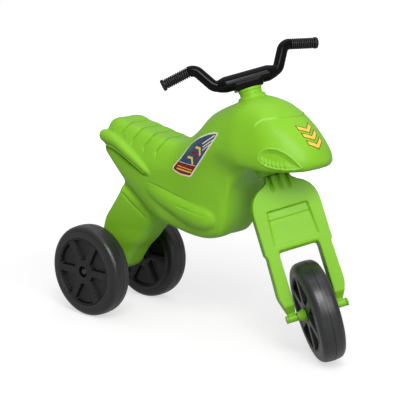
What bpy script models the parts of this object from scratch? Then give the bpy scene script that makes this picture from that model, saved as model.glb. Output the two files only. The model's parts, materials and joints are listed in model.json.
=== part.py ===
"""Kids ride-on motorcycle: a blow-moulded body on two rear wheels, steered by a moulded fork.

Metres, +X forward, +Y to the rider's left, +Z up, floor at z = 0. The body is measured from the rear
axle and the floor. What steers is measured along the steering axis, from its foot beside the front axle.
"""
import math

import bmesh
import bpy
import numpy as np
from mathutils import Matrix, Vector

# Clearances, and the facets of small round pieces
GAP = 0.0003
FIT = 0.0003
SMALL_STEPS = 16

# Running gear
WHEEL_RADIUS = 0.090
WHEEL_WIDTH = 0.0448
TREAD_WIDTH = 0.025
SHOULDER_DROP = 0.0105
RIM_RADIUS = 0.0658
RIM_INSET = 0.0010
AXLE_RADIUS = 0.005
WHEELBASE = 0.480
REAR_TRACK = 0.1636
WHEEL_STEPS = 32

# Rim pattern
SPOKES = 6
SPOKE_WIDTH = 0.0138
POCKET_INNER = 0.024
POCKET_OUTER = 0.0585
POCKET_CORNER = 0.006
POCKET_DEPTH = 0.007
REAR_SPOKE = math.radians(1)
FRONT_SPOKE = math.radians(20)
HUB_RECESS_RADIUS = 0.011
HUB_RECESS_DEPTH = 0.008
HUB_BUSH_WALL = 0.0037
HUB_FLANGE = 0.0017

# Steering head
RAKE = math.radians(22.24)
TURNED = math.radians(40.4)
FORK_OFFSET = 0.0047
STEM_RADIUS = 0.009
BUSH_RADIUS = 0.0147
BUSH_DEPTH = 0.016
BORE_CLEARANCE = 0.002
HEAD_TOP = 0.390
HEAD_FLANGE_RADIUS = 0.0242
COLLAR_RADIUS = 0.0208
COLLAR_HEIGHT = 0.0124
WASHER_THICKNESS = 0.0015
LOWER_FLANGE = 0.0025
LOWER_FLANGE_RADIUS = 0.025
WASHER_RADIUS = 0.0155
BOSS_RADIUS = 0.032
BOSS_HEIGHT = 0.040

# Fork
FORK_WIDTH = 0.122
FORK_FRONT = 0.016
FORK_BACK = 0.013
FORK_KNEE_WIDTH = 0.120
FORK_FOOT_WIDTH = 0.100
FORK_KNEE = 0.033
FORK_ARCH = 0.1136
FORK_GAP = 0.073
FORK_SHOULDER = 0.180
FORK_CROWN_TOP = 0.234
NECK_RISE = 0.0125
NECK_TOP = FORK_CROWN_TOP + NECK_RISE
NECK_HALF_WIDTH = 0.027
NECK_FILLET = 0.006
NECK_RADIUS = 0.016
NECK_HEIGHT = 0.060
FORK_BOSS_RADIUS = 0.0068
FORK_BOSS_WIDTH = 0.106
FORK_EDGE = 0.003
PANEL_BOTTOM = 0.127
PANEL_TOP = 0.187
PANEL_STEP = 0.170
PANEL_WIDTH_BOTTOM = 0.0814
PANEL_WIDTH_TOP = 0.073
PANEL_DEPTH = 0.002
PANEL_STEP_DEPTH = 0.0035
SLOT_WIDTH = 0.005
SLOT_PITCH = 0.0155
SLOT_DEPTH = 0.0065
SLOT_LENGTH = 0.031
FOOT_CHAMFER_TOP = 0.022
FOOT_CHAMFER_LOW = 0.0045
SOCKET_DEPTH = 0.070
CHANNEL_DEPTH = 0.018
CHANNEL_WALL = 0.0045
CHANNEL_RIBS = 3

# Handlebar, measured in the steering frame
BAR_RADIUS = 0.010
BAR_MIDDLE_RADIUS = 0.0128
BAR_MIDDLE_HALF = 0.056
BAR_LOW_CORNER = (0.0, 0.058, 0.0055)
BAR_HIGH_CORNER = (-0.008, 0.0825, 0.0465)
BAR_END = (-0.018, 0.1450, 0.0345)
BAR_BEND = 0.016
HUB_WIDTH = 0.051
HUB_LENGTH = 0.034
BAR_ABOVE_HUB = 0.013
STEM_IN_HUB = 0.017
GRIP_RADIUS = 0.0098
GRIP_GROOVE = 0.0009
GRIP_BORE = 0.0073
GRIP_MARGIN = 0.0006
GRIP_FLANGE_RADIUS = 0.0107
GRIP_FLANGE_LENGTH = 0.0055
GRIP_RIBS = 10
SCREW_RADIUS = 0.002
SCREW_HEAD_RADIUS = 0.0042
SCREW_HEAD_HEIGHT = 0.0025

# Body, from the rear axle: guide curves that the loft runs along, as (x, half width, z)
BODY_TOP = ((0.003, 0, 0.3825), (0.024, 0, 0.3835), (0.060, 0, 0.3765), (0.105, 0, 0.3665),
            (0.149, 0, 0.3570), (0.174, 0, 0.355),
            (0.200, 0, 0.366), (0.236, 0, 0.400), (0.256, 0, 0.415), (0.300, 0, 0.435),
            (0.352, 0, 0.4525), (0.376, 0, 0.4490), (0.426, 0, 0.424), (0.467, 0, 0.390),
            (0.489, 0, 0.356))
BODY_SHOULDER = ((0.003, 0.035, 0.379), (0.024, 0.0365, 0.3805), (0.060, 0.0345, 0.3735),
                 (0.105, 0.034, 0.3635), (0.149, 0.034, 0.354), (0.178, 0.033, 0.350),
                 (0.218, 0.030, 0.365), (0.256, 0.040, 0.396), (0.300, 0.046, 0.417),
                 (0.352, 0.050, 0.4335), (0.385, 0.0505, 0.4285), (0.400, 0.050, 0.422),
                 (0.430, 0.044, 0.406), (0.455, 0.036, 0.388), (0.475, 0.028, 0.370),
                 (0.489, 0.022, 0.356))
BODY_FLANK = ((0.003, 0.048, 0.352), (0.030, 0.050, 0.350), (0.135, 0.055, 0.318),
              (0.178, 0.056, 0.312), (0.218, 0.058, 0.330), (0.256, 0.063, 0.352),
              (0.300, 0.068, 0.366), (0.350, 0.074, 0.364), (0.400, 0.074, 0.360),
              (0.430, 0.067, 0.357), (0.455, 0.055, 0.354), (0.475, 0.040, 0.352),
              (0.489, 0.026, 0.350))
BODY_TUCK = ((0.003, 0.046, 0.338), (0.030, 0.052, 0.335), (0.135, 0.058, 0.288),
             (0.200, 0.060, 0.290), (0.256, 0.061, 0.305), (0.300, 0.060, 0.322),
             (0.330, 0.062, 0.328), (0.363, 0.070, 0.3375), (0.400, 0.0705, 0.3370),
             (0.430, 0.063, 0.3380), (0.455, 0.0515, 0.3400), (0.475, 0.0365, 0.3425),
             (0.489, 0.022, 0.346))
BODY_HEM = ((0.003, 0.046, 0.332), (0.015, 0.0495, 0.321), (0.031, 0.050, 0.305),
            (0.0655, 0.0505, 0.2735), (0.120, 0.055, 0.241), (0.170, 0.057, 0.2145),
            (0.250, 0.056, 0.2125),
            (0.296, 0.052, 0.228), (0.312, 0.050, 0.262), (0.326, 0.048, 0.300),
            (0.345, 0.048, 0.320), (0.363, 0.050, 0.3310), (0.400, 0.050, 0.3320),
            (0.430, 0.045, 0.3330), (0.455, 0.036, 0.3350), (0.475, 0.024, 0.3385),
            (0.489, 0.012, 0.342))
BODY_KEEL = ((0.003, 0.032, 0.326), (0.030, 0.038, 0.298), (0.062, 0.042, 0.266),
             (0.120, 0.046, 0.220), (0.170, 0.047, 0.203), (0.250, 0.044, 0.190),
             (0.290, 0.042, 0.199), (0.308, 0.040, 0.225), (0.322, 0.038, 0.290),
             (0.340, 0.036, 0.314), (0.363, 0.034, 0.3330), (0.430, 0.026, 0.3355),
             (0.455, 0.020, 0.3360), (0.475, 0.012, 0.3380), (0.489, 0.006, 0.341))
BODY_BOTTOM = ((0.003, 0, 0.325), (0.030, 0, 0.296), (0.062, 0, 0.263), (0.120, 0, 0.216),
               (0.170, 0, 0.203), (0.250, 0, 0.187), (0.290, 0, 0.197), (0.308, 0, 0.223),
               (0.322, 0, 0.288), (0.340, 0, 0.313), (0.363, 0, 0.333), (0.430, 0, 0.335),
               (0.455, 0, 0.336), (0.475, 0, 0.3375), (0.489, 0, 0.3405))
RING_SAMPLES = 3
TAIL_X = 0.003
TAIL_ROUND = 0.018
NOSE_X = 0.487
NOSE_ROUND = 0.018
END_ANGLES = (20, 42, 66)
SEAT_GROOVES = 4
SEAT_GROOVE_START = 0.0615
SEAT_GROOVE_PITCH = 0.031
SEAT_GROOVE_HALF = 0.0032
SEAT_GROOVE_DEPTH = 0.0026
SEAT_PILLOW = 0.0012
SEAT_BOW = 0.0065
SEAT_BOW_HALF = 0.034
SEAT_LEAN = 0.5
SEAT_LEAN_DROP = 0.022
SEAT_LEAN_FADE = 0.060
SEAT_START = 0.030
SEAT_FULL = 0.054
SEAT_FADE = 0.1615
SEAT_END = 0.190
BODY_FORM = (0.032, 0.043, 0.164, 0.178, 0.192, 0.206, 0.221, 0.238, 0.256, 0.276, 0.290, 0.300, 0.308,
             0.315, 0.322, 0.331, 0.340, 0.352, 0.363, 0.378, 0.395, 0.412, 0.428, 0.443, 0.456)
STATION_SPACE = 0.0045
TAIL_SLANT = 0.010
TAIL_SLANT_LOW = 0.335
TAIL_SLANT_HIGH = 0.380
TAIL_SLANT_END = 0.055

# Rear leg, from the rear axle: (z, x at the back, x at the front, half width at the back and front)
LEG = ((0.0790, -0.0035, 0.0110, 0.031, 0.032), (0.0805, -0.0080, 0.0200, 0.036, 0.034),
       (0.0850, -0.0110, 0.0285, 0.041, 0.036), (0.0920, -0.0125, 0.0370, 0.044, 0.037),
       (0.1050, -0.0115, 0.0460, 0.046, 0.037), (0.1280, -0.0090, 0.0625, 0.0475, 0.037),
       (0.1500, -0.0045, 0.0850, 0.048, 0.038), (0.1700, 0.0005, 0.1010, 0.048, 0.038),
       (0.1900, 0.0085, 0.1185, 0.048, 0.040), (0.2130, 0.0270, 0.1360, 0.048, 0.042),
       (0.2430, 0.0500, 0.1480, 0.048, 0.044), (0.2660, 0.0640, 0.1540, 0.048, 0.044),
       (0.2880, 0.0900, 0.1560, 0.046, 0.044))
LEG_BACK_CORNER = 0.0045
LEG_FRONT_CORNER = 0.024
LEG_BOSS_RADIUS = 0.0108
LEG_VALLEY = ((0.045, 0.2685), (0.062, 0.257), (0.092, 0.237), (0.118, 0.2195), (0.136, 0.2075),
              (0.152, 0.197))
LEG_VALLEY_RADII = (0.0125, 0.013, 0.0125, 0.0105, 0.0070, 0.003)
LEG_VALLEY_OUT = 0.0565
REAR_WASHER = 0.0016
REAR_WASHER_RADIUS = 0.0105
CAP_RADIUS = 0.0074
CAP_HEIGHT = 0.006

# Raised forms on the flanks: (x, half width, z, radius) along each
POD = ((0.098, 0.046, 0.279, 0.003), (0.112, 0.049, 0.273, 0.008), (0.138, 0.052, 0.263, 0.0145),
       (0.166, 0.0535, 0.2535, 0.0185), (0.213, 0.055, 0.240, 0.021), (0.242, 0.055, 0.233, 0.0225),
       (0.268, 0.0535, 0.230, 0.021), (0.284, 0.052, 0.232, 0.015), (0.294, 0.048, 0.2345, 0.006))
POD_FLATTEN = 0.6
POD_LINE = ((0.200, 0.0695, 0.247, 0.001), (0.224, 0.0705, 0.2437, 0.0032), (0.245, 0.0705, 0.240, 0.0034),
            (0.270, 0.0685, 0.2365, 0.0030), (0.281, 0.0640, 0.235, 0.001))
RAIL = ((0.0070, 0.047, 0.3515, 0.007), (0.0105, 0.0475, 0.3515, 0.0105), (0.020, 0.048, 0.350, 0.0130),
        (0.045, 0.0500, 0.3440, 0.0125), (0.076, 0.0525, 0.3300, 0.0120), (0.108, 0.0545, 0.3140, 0.0105),
        (0.127, 0.055, 0.3030, 0.0080), (0.137, 0.054, 0.2965, 0.0045))
RAIL_LIP = ((0.014, 0.0500, 0.3360, 0.0022), (0.024, 0.0525, 0.3340, 0.0034),
            (0.060, 0.0545, 0.3240, 0.0036), (0.100, 0.0565, 0.3050, 0.0034),
            (0.124, 0.0570, 0.2930, 0.0018))

# Air intake in each side of the fairing
INTAKE_X = 0.435
INTAKE_Z = 0.358
INTAKE_HALF = (0.0385, 0.0115, 0.0185)
INTAKE_PROUD = 0.0035
INTAKE_YAW = math.radians(-24)
INTAKE_ROLL = math.radians(-16)
INTAKE_PITCH = math.radians(6)

# Lip of the screen, across the fairing above the nose: (x, z) on the skin, to the middle
LIP = ((0.3835, 0.4045), (0.3840, 0.4095), (0.3865, 0.4140), (0.3905, 0.4172), (0.3955, 0.4198),
       (0.4035, 0.4217), (0.4130, 0.4226), (0.4195, 0.4228), (0.4240, 0.4228))
LIP_TIP = 0.004
LIP_RADIUS = 0.0013


def clear_scene():
    for old in list(bpy.data.objects):
        bpy.data.objects.remove(old)


def collection(name):
    made = bpy.data.collections.new(name)
    bpy.context.scene.collection.children.link(made)
    return made


def material(name, colour, roughness, metallic=0.0):
    made = bpy.data.materials.new(name)
    made.use_nodes = True
    shader = made.node_tree.nodes["Principled BSDF"]
    shader.inputs["Base Color"].default_value = (*colour, 1.0)
    shader.inputs["Roughness"].default_value = roughness
    shader.inputs["Metallic"].default_value = metallic
    made.diffuse_color = (*colour, 1.0)
    return made


def empty(name, parent=None, matrix=None):
    made = bpy.data.objects.new(name, None)
    PARTS.objects.link(made)
    made.parent = parent
    if matrix is not None:
        made.matrix_local = matrix
    return made


def put(mesh, name, parent, matrix=None, look=None, cutter=False):
    """Makes a mesh an object under its parent: a piece where it has a look, otherwise a cutter."""
    made = bpy.data.objects.new(name, mesh)
    (CUTTERS if cutter else PARTS).objects.link(made)
    made.parent = parent
    if matrix is not None:
        made.matrix_local = matrix
    if look is not None:
        mesh.materials.append(look)
    if cutter:
        made.hide_render = True
        made.display_type = "WIRE"
    mesh.shade_smooth()
    mesh.set_sharp_from_angle(angle=math.radians(35))
    return made


def combine(target, tool, operation):
    made = target.modifiers.new(operation.lower() + "_" + tool.name, "BOOLEAN")
    made.operation = operation
    made.solver = "EXACT"
    made.object = tool
    return made


def mesh_from(bm, name):
    bmesh.ops.recalc_face_normals(bm, faces=bm.faces)
    mesh = bpy.data.meshes.new(name)
    bm.to_mesh(mesh)
    bm.free()
    return mesh


def turned(name, profile, steps=SMALL_STEPS, closed=True):
    """A turned solid about Z: a profile of (radius, z), run down its outer side, with a Screw."""
    mesh = bpy.data.meshes.new(name)
    edges = [(i, i + 1) for i in range(len(profile) - 1)]
    if closed:
        edges.append((len(profile) - 1, 0))
    mesh.from_pydata([(r, 0.0, z) for r, z in profile], edges, [])
    source = bpy.data.objects.new(name + "_profile", mesh)
    CUTTERS.objects.link(source)
    screw = source.modifiers.new("turn", "SCREW")
    screw.axis = "Z"
    screw.steps = steps
    screw.render_steps = steps
    screw.use_merge_vertices = True
    screw.merge_threshold = 0.00001
    screw.use_normal_calculate = True
    return evaluated(source, name)


def evaluated(source, name):
    """The welded mesh of an object as its modifiers leave it; the object itself is removed."""
    bpy.context.view_layer.update()
    graph = bpy.context.evaluated_depsgraph_get()
    mesh = bpy.data.meshes.new_from_object(source.evaluated_get(graph))
    bpy.data.objects.remove(source)
    bm = bmesh.new()
    bm.from_mesh(mesh)
    bmesh.ops.remove_doubles(bm, verts=bm.verts, dist=0.00001)
    return mesh_from(bm, name)


def plate(name, outline, thickness, edge=0.0, segments=2):
    """A flat outline in the XY plane, given its thickness along Z, with rounded edges."""
    curve = bpy.data.curves.new(name, "CURVE")
    curve.dimensions = "2D"
    curve.fill_mode = "BOTH"
    curve.extrude = thickness / 2
    spline = curve.splines.new("POLY")
    spline.points.add(len(outline) - 1)
    for point, (x, y) in zip(spline.points, outline):
        point.co = (x, y, 0.0, 1.0)
    spline.use_cyclic_u = True
    source = bpy.data.objects.new(name + "_outline", curve)
    CUTTERS.objects.link(source)
    mesh = evaluated(source, name)
    bm = bmesh.new()
    bm.from_mesh(mesh)
    bmesh.ops.dissolve_limit(bm, angle_limit=math.radians(1), verts=bm.verts, edges=bm.edges)
    if edge:
        rims = [e for e in bm.edges if len({round(abs(v.co.z), 6) for v in e.verts}) == 1
                and e.verts[0].co.z * e.verts[1].co.z > 0 and e.calc_face_angle(0) > 0.5]
        bmesh.ops.bevel(bm, geom=rims, offset=edge, segments=segments, profile=0.5, affect="EDGES")
    return mesh_from(bm, name)


def tube(name, points, radii, resolution=4):
    """A round tube through points, with its own radius at each."""
    curve = bpy.data.curves.new(name, "CURVE")
    curve.dimensions = "3D"
    curve.bevel_depth = 1.0
    curve.bevel_resolution = resolution
    curve.use_fill_caps = True
    spline = curve.splines.new("POLY")
    spline.points.add(len(points) - 1)
    for point, place, radius in zip(spline.points, points, radii):
        point.co = (*place, 1.0)
        point.radius = radius
    source = bpy.data.objects.new(name + "_path", curve)
    CUTTERS.objects.link(source)
    return evaluated(source, name)


def rounded_box(name, size, centre, edge=0.0):
    bm = bmesh.new()
    bmesh.ops.create_cube(bm, size=1.0)
    bmesh.ops.scale(bm, vec=size, verts=bm.verts)
    bmesh.ops.translate(bm, vec=centre, verts=bm.verts)
    if edge:
        bmesh.ops.bevel(bm, geom=bm.edges[:], offset=edge, segments=2, profile=0.5, affect="EDGES")
    return mesh_from(bm, name)


def cylinder(name, radius, low, high, steps=SMALL_STEPS, axis="Z", at=(0, 0, 0)):
    """A round bar along an axis of its parent, from low to high."""
    bm = bmesh.new()
    bmesh.ops.create_cone(bm, cap_ends=True, segments=steps, radius1=radius, radius2=radius,
                          depth=high - low)
    bmesh.ops.translate(bm, vec=(0, 0, (high + low) / 2), verts=bm.verts)
    turn = {"Z": Matrix(), "Y": Matrix.Rotation(-math.pi / 2, 4, "X"),
            "X": Matrix.Rotation(math.pi / 2, 4, "Y")}[axis]
    bmesh.ops.transform(bm, matrix=Matrix.Translation(at) @ turn, verts=bm.verts)
    return mesh_from(bm, name)


def bend_run(before, corner, after, radius):
    """How far from its corner a bend of the given radius starts."""
    return radius / math.tan((before - corner).angle(after - corner) / 2)


def bent(corners, radius, steps=4):
    """A path of straight runs with an arc of the given radius at each inner corner."""
    path = [corners[0]]
    for before, corner, after in zip(corners, corners[1:], corners[2:]):
        back = (before - corner).normalized()
        ahead = (after - corner).normalized()
        half = back.angle(ahead) / 2
        run = bend_run(before, corner, after, radius)
        centre = corner + (back + ahead).normalized() * (radius / math.sin(half))
        start = (corner + back * run - centre).normalized()
        finish = (corner + ahead * run - centre).normalized()
        for k in range(steps + 1):
            path.append(centre + radius * start.slerp(finish, k / steps))
    path.append(corners[-1])
    return path


def guide(points, x):
    """The half width and height of a guide curve at x, smooth and never past its own points."""
    table = np.array(points, float)
    place = table[:, 0]
    value = table[:, 1:]
    step = np.diff(place)[:, None]
    rise = np.diff(value, axis=0) / step
    slope = np.zeros_like(value)
    slope[0] = rise[0]
    slope[-1] = rise[-1]
    for i in range(1, len(table) - 1):
        first = 2 * step[i] + step[i - 1]
        second = step[i] + 2 * step[i - 1]
        for j in range(value.shape[1]):
            if rise[i - 1, j] * rise[i, j] > 0:
                weight = first[0] / rise[i - 1, j] + second[0] / rise[i, j]
                slope[i, j] = (first[0] + second[0]) / weight
    x = min(max(x, place[0]), place[-1])
    i = min(int(np.searchsorted(place, x, side="right")) - 1, len(table) - 2)
    t = (x - place[i]) / step[i, 0]
    return ((2 * t**3 - 3 * t**2 + 1) * value[i] + (t**3 - 2 * t**2 + t) * step[i] * slope[i]
            + (3 * t**2 - 2 * t**3) * value[i + 1] + (t**3 - t**2) * step[i] * slope[i + 1])


def closed_curve(points, samples):
    """A closed centripetal curve through points, with the given samples in each span."""
    count = len(points)
    ring = []
    for i in range(count):
        p0, p1, p2, p3 = (points[(i + k) % count] for k in (-1, 0, 1, 2))
        t1 = max(np.linalg.norm(p1 - p0), 1e-6) ** 0.5
        t2 = t1 + max(np.linalg.norm(p2 - p1), 1e-6) ** 0.5
        t3 = t2 + max(np.linalg.norm(p3 - p2), 1e-6) ** 0.5
        for k in range(samples):
            t = t1 + (t2 - t1) * k / samples
            a1 = p0 * (t1 - t) / t1 + p1 * t / t1
            a2 = p1 * (t2 - t) / (t2 - t1) + p2 * (t - t1) / (t2 - t1)
            a3 = p2 * (t3 - t) / (t3 - t2) + p3 * (t - t2) / (t3 - t2)
            b1 = a1 * (t2 - t) / t2 + a2 * t / t2
            b2 = a2 * (t3 - t) / (t3 - t1) + a3 * (t - t1) / (t3 - t1)
            ring.append(b1 * (t2 - t) / (t2 - t1) + b2 * (t - t1) / (t2 - t1))
    return np.array(ring)


def end_scale(x):
    """How far a section shrinks towards the rounded tail and nose."""
    if x < TAIL_X + TAIL_ROUND:
        return math.sqrt(max(0.0, 1 - ((TAIL_X + TAIL_ROUND - x) / TAIL_ROUND) ** 2))
    if x > NOSE_X - NOSE_ROUND:
        return math.sqrt(max(0.0, 1 - ((x - NOSE_X + NOSE_ROUND) / NOSE_ROUND) ** 2))
    return 1.0


def groove_centres():
    return [SEAT_GROOVE_START + SEAT_GROOVE_PITCH * k for k in range(SEAT_GROOVES)]


def body_section(x):
    """The ring of points of the body's section at x, from the top down its left side and round."""
    half = [guide(points, x) for points in (BODY_TOP, BODY_SHOULDER, BODY_FLANK, BODY_TUCK, BODY_HEM,
                                            BODY_KEEL, BODY_BOTTOM)]
    right = [np.array((-y, z)) for y, z in half[-2:0:-1]]
    ring = closed_curve(half + right, RING_SAMPLES)
    top = half[0][1]
    flank = half[2][1]
    middle = np.array((0.0, (half[0][1] + half[-1][1]) / 2))
    sink = seat_relief(x)
    if sink:
        for point in ring:
            share = min(max((point[1] - flank) / (top - flank) * 3, 0.0), 1.0)
            inward = middle - point
            point += inward / np.linalg.norm(inward) * sink * share
    return middle + (ring - middle) * end_scale(x)


def seat_relief(x):
    """How deep the seat's surface lies at x: below its line in a groove, above it between two."""
    centres = groove_centres()
    nearest = min(abs(x - centre) for centre in centres)
    if nearest < SEAT_GROOVE_HALF:
        return SEAT_GROOVE_DEPTH * (1 - nearest / SEAT_GROOVE_HALF)
    if centres[0] < x < centres[-1]:
        return -SEAT_PILLOW * min(1.0, (nearest - SEAT_GROOVE_HALF) / (SEAT_GROOVE_PITCH / 4))
    return 0.0


def body_stations():
    """Where the loft has sections: at the grooves first, then along the form where there is room."""
    tail = [TAIL_X + TAIL_ROUND * (1 - math.cos(math.radians(a))) for a in END_ANGLES]
    tail.append(TAIL_X + TAIL_ROUND)
    nose = [NOSE_X - NOSE_ROUND]
    nose += [NOSE_X - NOSE_ROUND * (1 - math.cos(math.radians(a))) for a in reversed(END_ANGLES)]
    grooves = []
    for centre in groove_centres():
        grooves += [centre - SEAT_GROOVE_HALF, centre, centre + SEAT_GROOVE_HALF]
        if centre < groove_centres()[-1]:
            grooves.append(centre + SEAT_GROOVE_PITCH / 2)
    fixed = tail + grooves + nose
    free = []
    for x in BODY_FORM:
        clear = min(abs(x - taken) for taken in fixed) >= STATION_SPACE
        if clear and tail[-1] < x < nose[0] and not grooves[0] < x < grooves[-1]:
            free.append(x)
    return sorted(fixed + free)


def ease(x, low, high):
    """0 below low, 1 above high and a straight run between them."""
    return min(max((x - low) / (high - low), 0.0), 1.0)


def slide(x, y, z):
    """How far a point of the section at x moves along: the seat's bowed grooves and the raked tail."""
    in_seat = ease(x, SEAT_START, SEAT_FULL) * (1 - ease(x, SEAT_FADE, SEAT_END))
    drop = float(guide(BODY_TOP, x)[1]) - z
    bow = SEAT_BOW * max(0.0, 1 - (y / SEAT_BOW_HALF) ** 2)
    fade = 1 - ease(drop, SEAT_LEAN_DROP, SEAT_LEAN_FADE)
    lean = SEAT_LEAN * min(max(drop, 0.0), SEAT_LEAN_DROP) * fade
    in_tail = 1 - ease(x, TAIL_X + TAIL_ROUND, TAIL_SLANT_END)
    slant = TAIL_SLANT * in_tail * ease(z, TAIL_SLANT_LOW, TAIL_SLANT_HIGH)
    return slant - in_seat * (bow + lean)


def body_hull(name):
    """The main form: a loft through the sections, with the seat's grooves bowed to the rear."""
    bm = bmesh.new()
    rings = []
    for x in body_stations():
        rings.append([bm.verts.new((x + slide(x, y, z), y, z)) for y, z in body_section(x)])
    for ring, after in zip(rings, rings[1:]):
        for i in range(len(ring)):
            j = (i + 1) % len(ring)
            bm.faces.new((ring[i], ring[j], after[j], after[i]))
    bm.faces.new(rings[0])
    bm.faces.new(rings[-1])
    return mesh_from(bm, name)


def ridge(name, route, flatten, side, resolution=5):
    """A tapered raised form along one flank, flattened across it."""
    mesh = tube(name, [(x, 0.0, z) for x, y, z, r in route], [r for x, y, z, r in route], resolution)
    places = [x for x, y, z, r in route]
    offsets = [y for x, y, z, r in route]
    for vertex in mesh.vertices:
        vertex.co.y = side * float(np.interp(vertex.co.x, places, offsets)) + vertex.co.y * flatten
    return mesh


def leg_ring(back, front, half_back, half_front):
    """A section of the rear leg in (x, y): a tapered box with a large radius at its front corners."""
    front_corner = min(LEG_FRONT_CORNER, (front - back) * 0.45, half_front * 0.8)
    back_corner = min(LEG_BACK_CORNER, (front - back) * 0.2)
    side = []
    for radius, x, half, start in ((front_corner, front - front_corner, half_front, 0.0),
                                   (back_corner, back + back_corner, half_back, 90.0)):
        for k in range(4):
            angle = math.radians(start + 30 * k)
            side.append((x + radius * math.cos(angle), half - radius + radius * math.sin(angle)))
    return side + [(x, -y) for x, y in reversed(side)]


def leg_loft(name):
    """The rear leg as a loft of level sections, from under the axle up into the body."""
    bm = bmesh.new()
    rings = [[bm.verts.new((x, y, z)) for x, y in leg_ring(*row)] for z, *row in LEG]
    for ring, after in zip(rings, rings[1:]):
        for i in range(len(ring)):
            j = (i + 1) % len(ring)
            bm.faces.new((ring[i], ring[j], after[j], after[i]))
    bm.faces.new(rings[0])
    bm.faces.new(rings[-1])
    return mesh_from(bm, name)


def build_body():
    body = put(body_hull("body_shell"), "body_shell", BIKE, look=GREEN)
    leg = put(leg_loft("leg"), "leg", BIKE, cutter=True)
    combine(body, leg, "UNION")
    for side, word in ((1, "left"), (-1, "right")):
        route = [(x, side * LEG_VALLEY_OUT, z) for x, z in LEG_VALLEY]
        groove = tube(word + "_valley", route, LEG_VALLEY_RADII, 4)
        valley = put(groove, word + "_valley", BIKE, cutter=True)
        combine(body, valley, "DIFFERENCE")
    hub_face = REAR_TRACK / 2 - WHEEL_WIDTH / 2 + RIM_INSET
    boss_end = hub_face - 2 * GAP - REAR_WASHER
    boss = put(cylinder("axle_boss", LEG_BOSS_RADIUS, -boss_end, boss_end, axis="Y",
                        at=(0, 0, REAR_AXLE_Z)), "axle_boss", BIKE, cutter=True)
    combine(body, boss, "UNION")
    for side, word in ((1, "left"), (-1, "right")):
        for label, route, flatten, resolution, operation in (
                ("pod", POD, POD_FLATTEN, 5, "UNION"), ("rail", RAIL, 1.0, 5, "UNION"),
                ("rail_lip", RAIL_LIP, 1.0, 2, "UNION"), ("pod_line", POD_LINE, 1.0, 2, "DIFFERENCE")):
            name = f"{word}_{label}"
            formed = put(ridge(name, route, flatten, side, resolution), name, BIKE, cutter=True)
            combine(body, formed, operation)
    boss_low = lower_stack()
    neck = put(cylinder("head_flange", HEAD_FLANGE_RADIUS, boss_low + BOSS_HEIGHT / 2, HEAD_TOP),
               "head_flange", HEAD, cutter=True)
    combine(body, neck, "UNION")
    lower = put(cylinder("head_boss", BOSS_RADIUS, boss_low, boss_low + BOSS_HEIGHT), "head_boss", HEAD,
                cutter=True)
    combine(body, lower, "UNION")
    combine(body, put(head_cavity("head_cavity", boss_low), "head_cavity", HEAD, cutter=True), "DIFFERENCE")
    axle = put(cylinder("axle_bore", AXLE_RADIUS + FIT, -2 * boss_end, 2 * boss_end, axis="Y",
                        at=(0, 0, REAR_AXLE_Z)), "axle_bore", BIKE, cutter=True)
    combine(body, axle, "DIFFERENCE")
    for side, word in ((1, "left"), (-1, "right")):
        intake = put(intake_cutter(word + "_intake", side), word + "_intake", BIKE, cutter=True)
        combine(body, intake, "DIFFERENCE")
    combine(body, put(lip_groove("screen_lip"), "screen_lip", BIKE, cutter=True), "DIFFERENCE")
    return body


def skin(x, z):
    """The body's half width at a place."""
    ring = body_section(x)
    widest = 0.0
    for (y0, z0), (y1, z1) in zip(ring, np.roll(ring, -1, axis=0)):
        if min(z0, z1) <= z <= max(z0, z1) and z0 != z1:
            widest = max(widest, y0 + (y1 - y0) * (z - z0) / (z1 - z0))
    return widest


def lip_groove(name):
    """A thin round cutter that runs on the skin round the front of the screen."""
    side = [Vector((x, skin(x, z), z)) for x, z in LIP]
    tip_x = LIP[-1][0] + LIP_TIP
    tip = Vector((tip_x, 0.0, float(guide(BODY_TOP, tip_x)[1])))
    path = side + [tip] + [Vector((p.x, -p.y, p.z)) for p in reversed(side)]
    return tube(name, path, [LIP_RADIUS] * len(path), 2)


def intake_cutter(name, side):
    bm = bmesh.new()
    bmesh.ops.create_uvsphere(bm, u_segments=16, v_segments=8, radius=1.0)
    bmesh.ops.rotate(bm, matrix=Matrix.Rotation(math.pi / 2, 3, "Y"), verts=bm.verts)
    bmesh.ops.scale(bm, vec=INTAKE_HALF, verts=bm.verts)
    place = Matrix.Translation((INTAKE_X, side * (skin(INTAKE_X, INTAKE_Z) + INTAKE_PROUD), INTAKE_Z))
    lean = Matrix.Rotation(INTAKE_PITCH, 4, "Y") @ Matrix.Rotation(side * INTAKE_ROLL, 4, "X")
    turn = place @ Matrix.Rotation(side * INTAKE_YAW, 4, "Z") @ lean
    bmesh.ops.transform(bm, matrix=turn, verts=bm.verts)
    return mesh_from(bm, name)


def head_cavity(name, boss_low):
    """The stem's bore with a bush seat at each end, cut right through the head."""
    seat = BUSH_RADIUS + FIT
    bore = STEM_RADIUS + BORE_CLEARANCE
    over = 0.010
    lower = boss_low + BUSH_DEPTH + GAP
    upper = HEAD_TOP - BUSH_DEPTH - GAP
    profile = [(0.0, HEAD_TOP + over), (seat, HEAD_TOP + over), (seat, upper), (bore, upper), (bore, lower),
               (seat, lower), (seat, boss_low - over), (0.0, boss_low - over)]
    return turned(name, profile, closed=False)


def lower_stack():
    """Where the body's head boss starts, above the fork's neck, the washer and the bush's flange."""
    return NECK_TOP + WASHER_THICKNESS + LOWER_FLANGE + 3 * GAP


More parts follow.
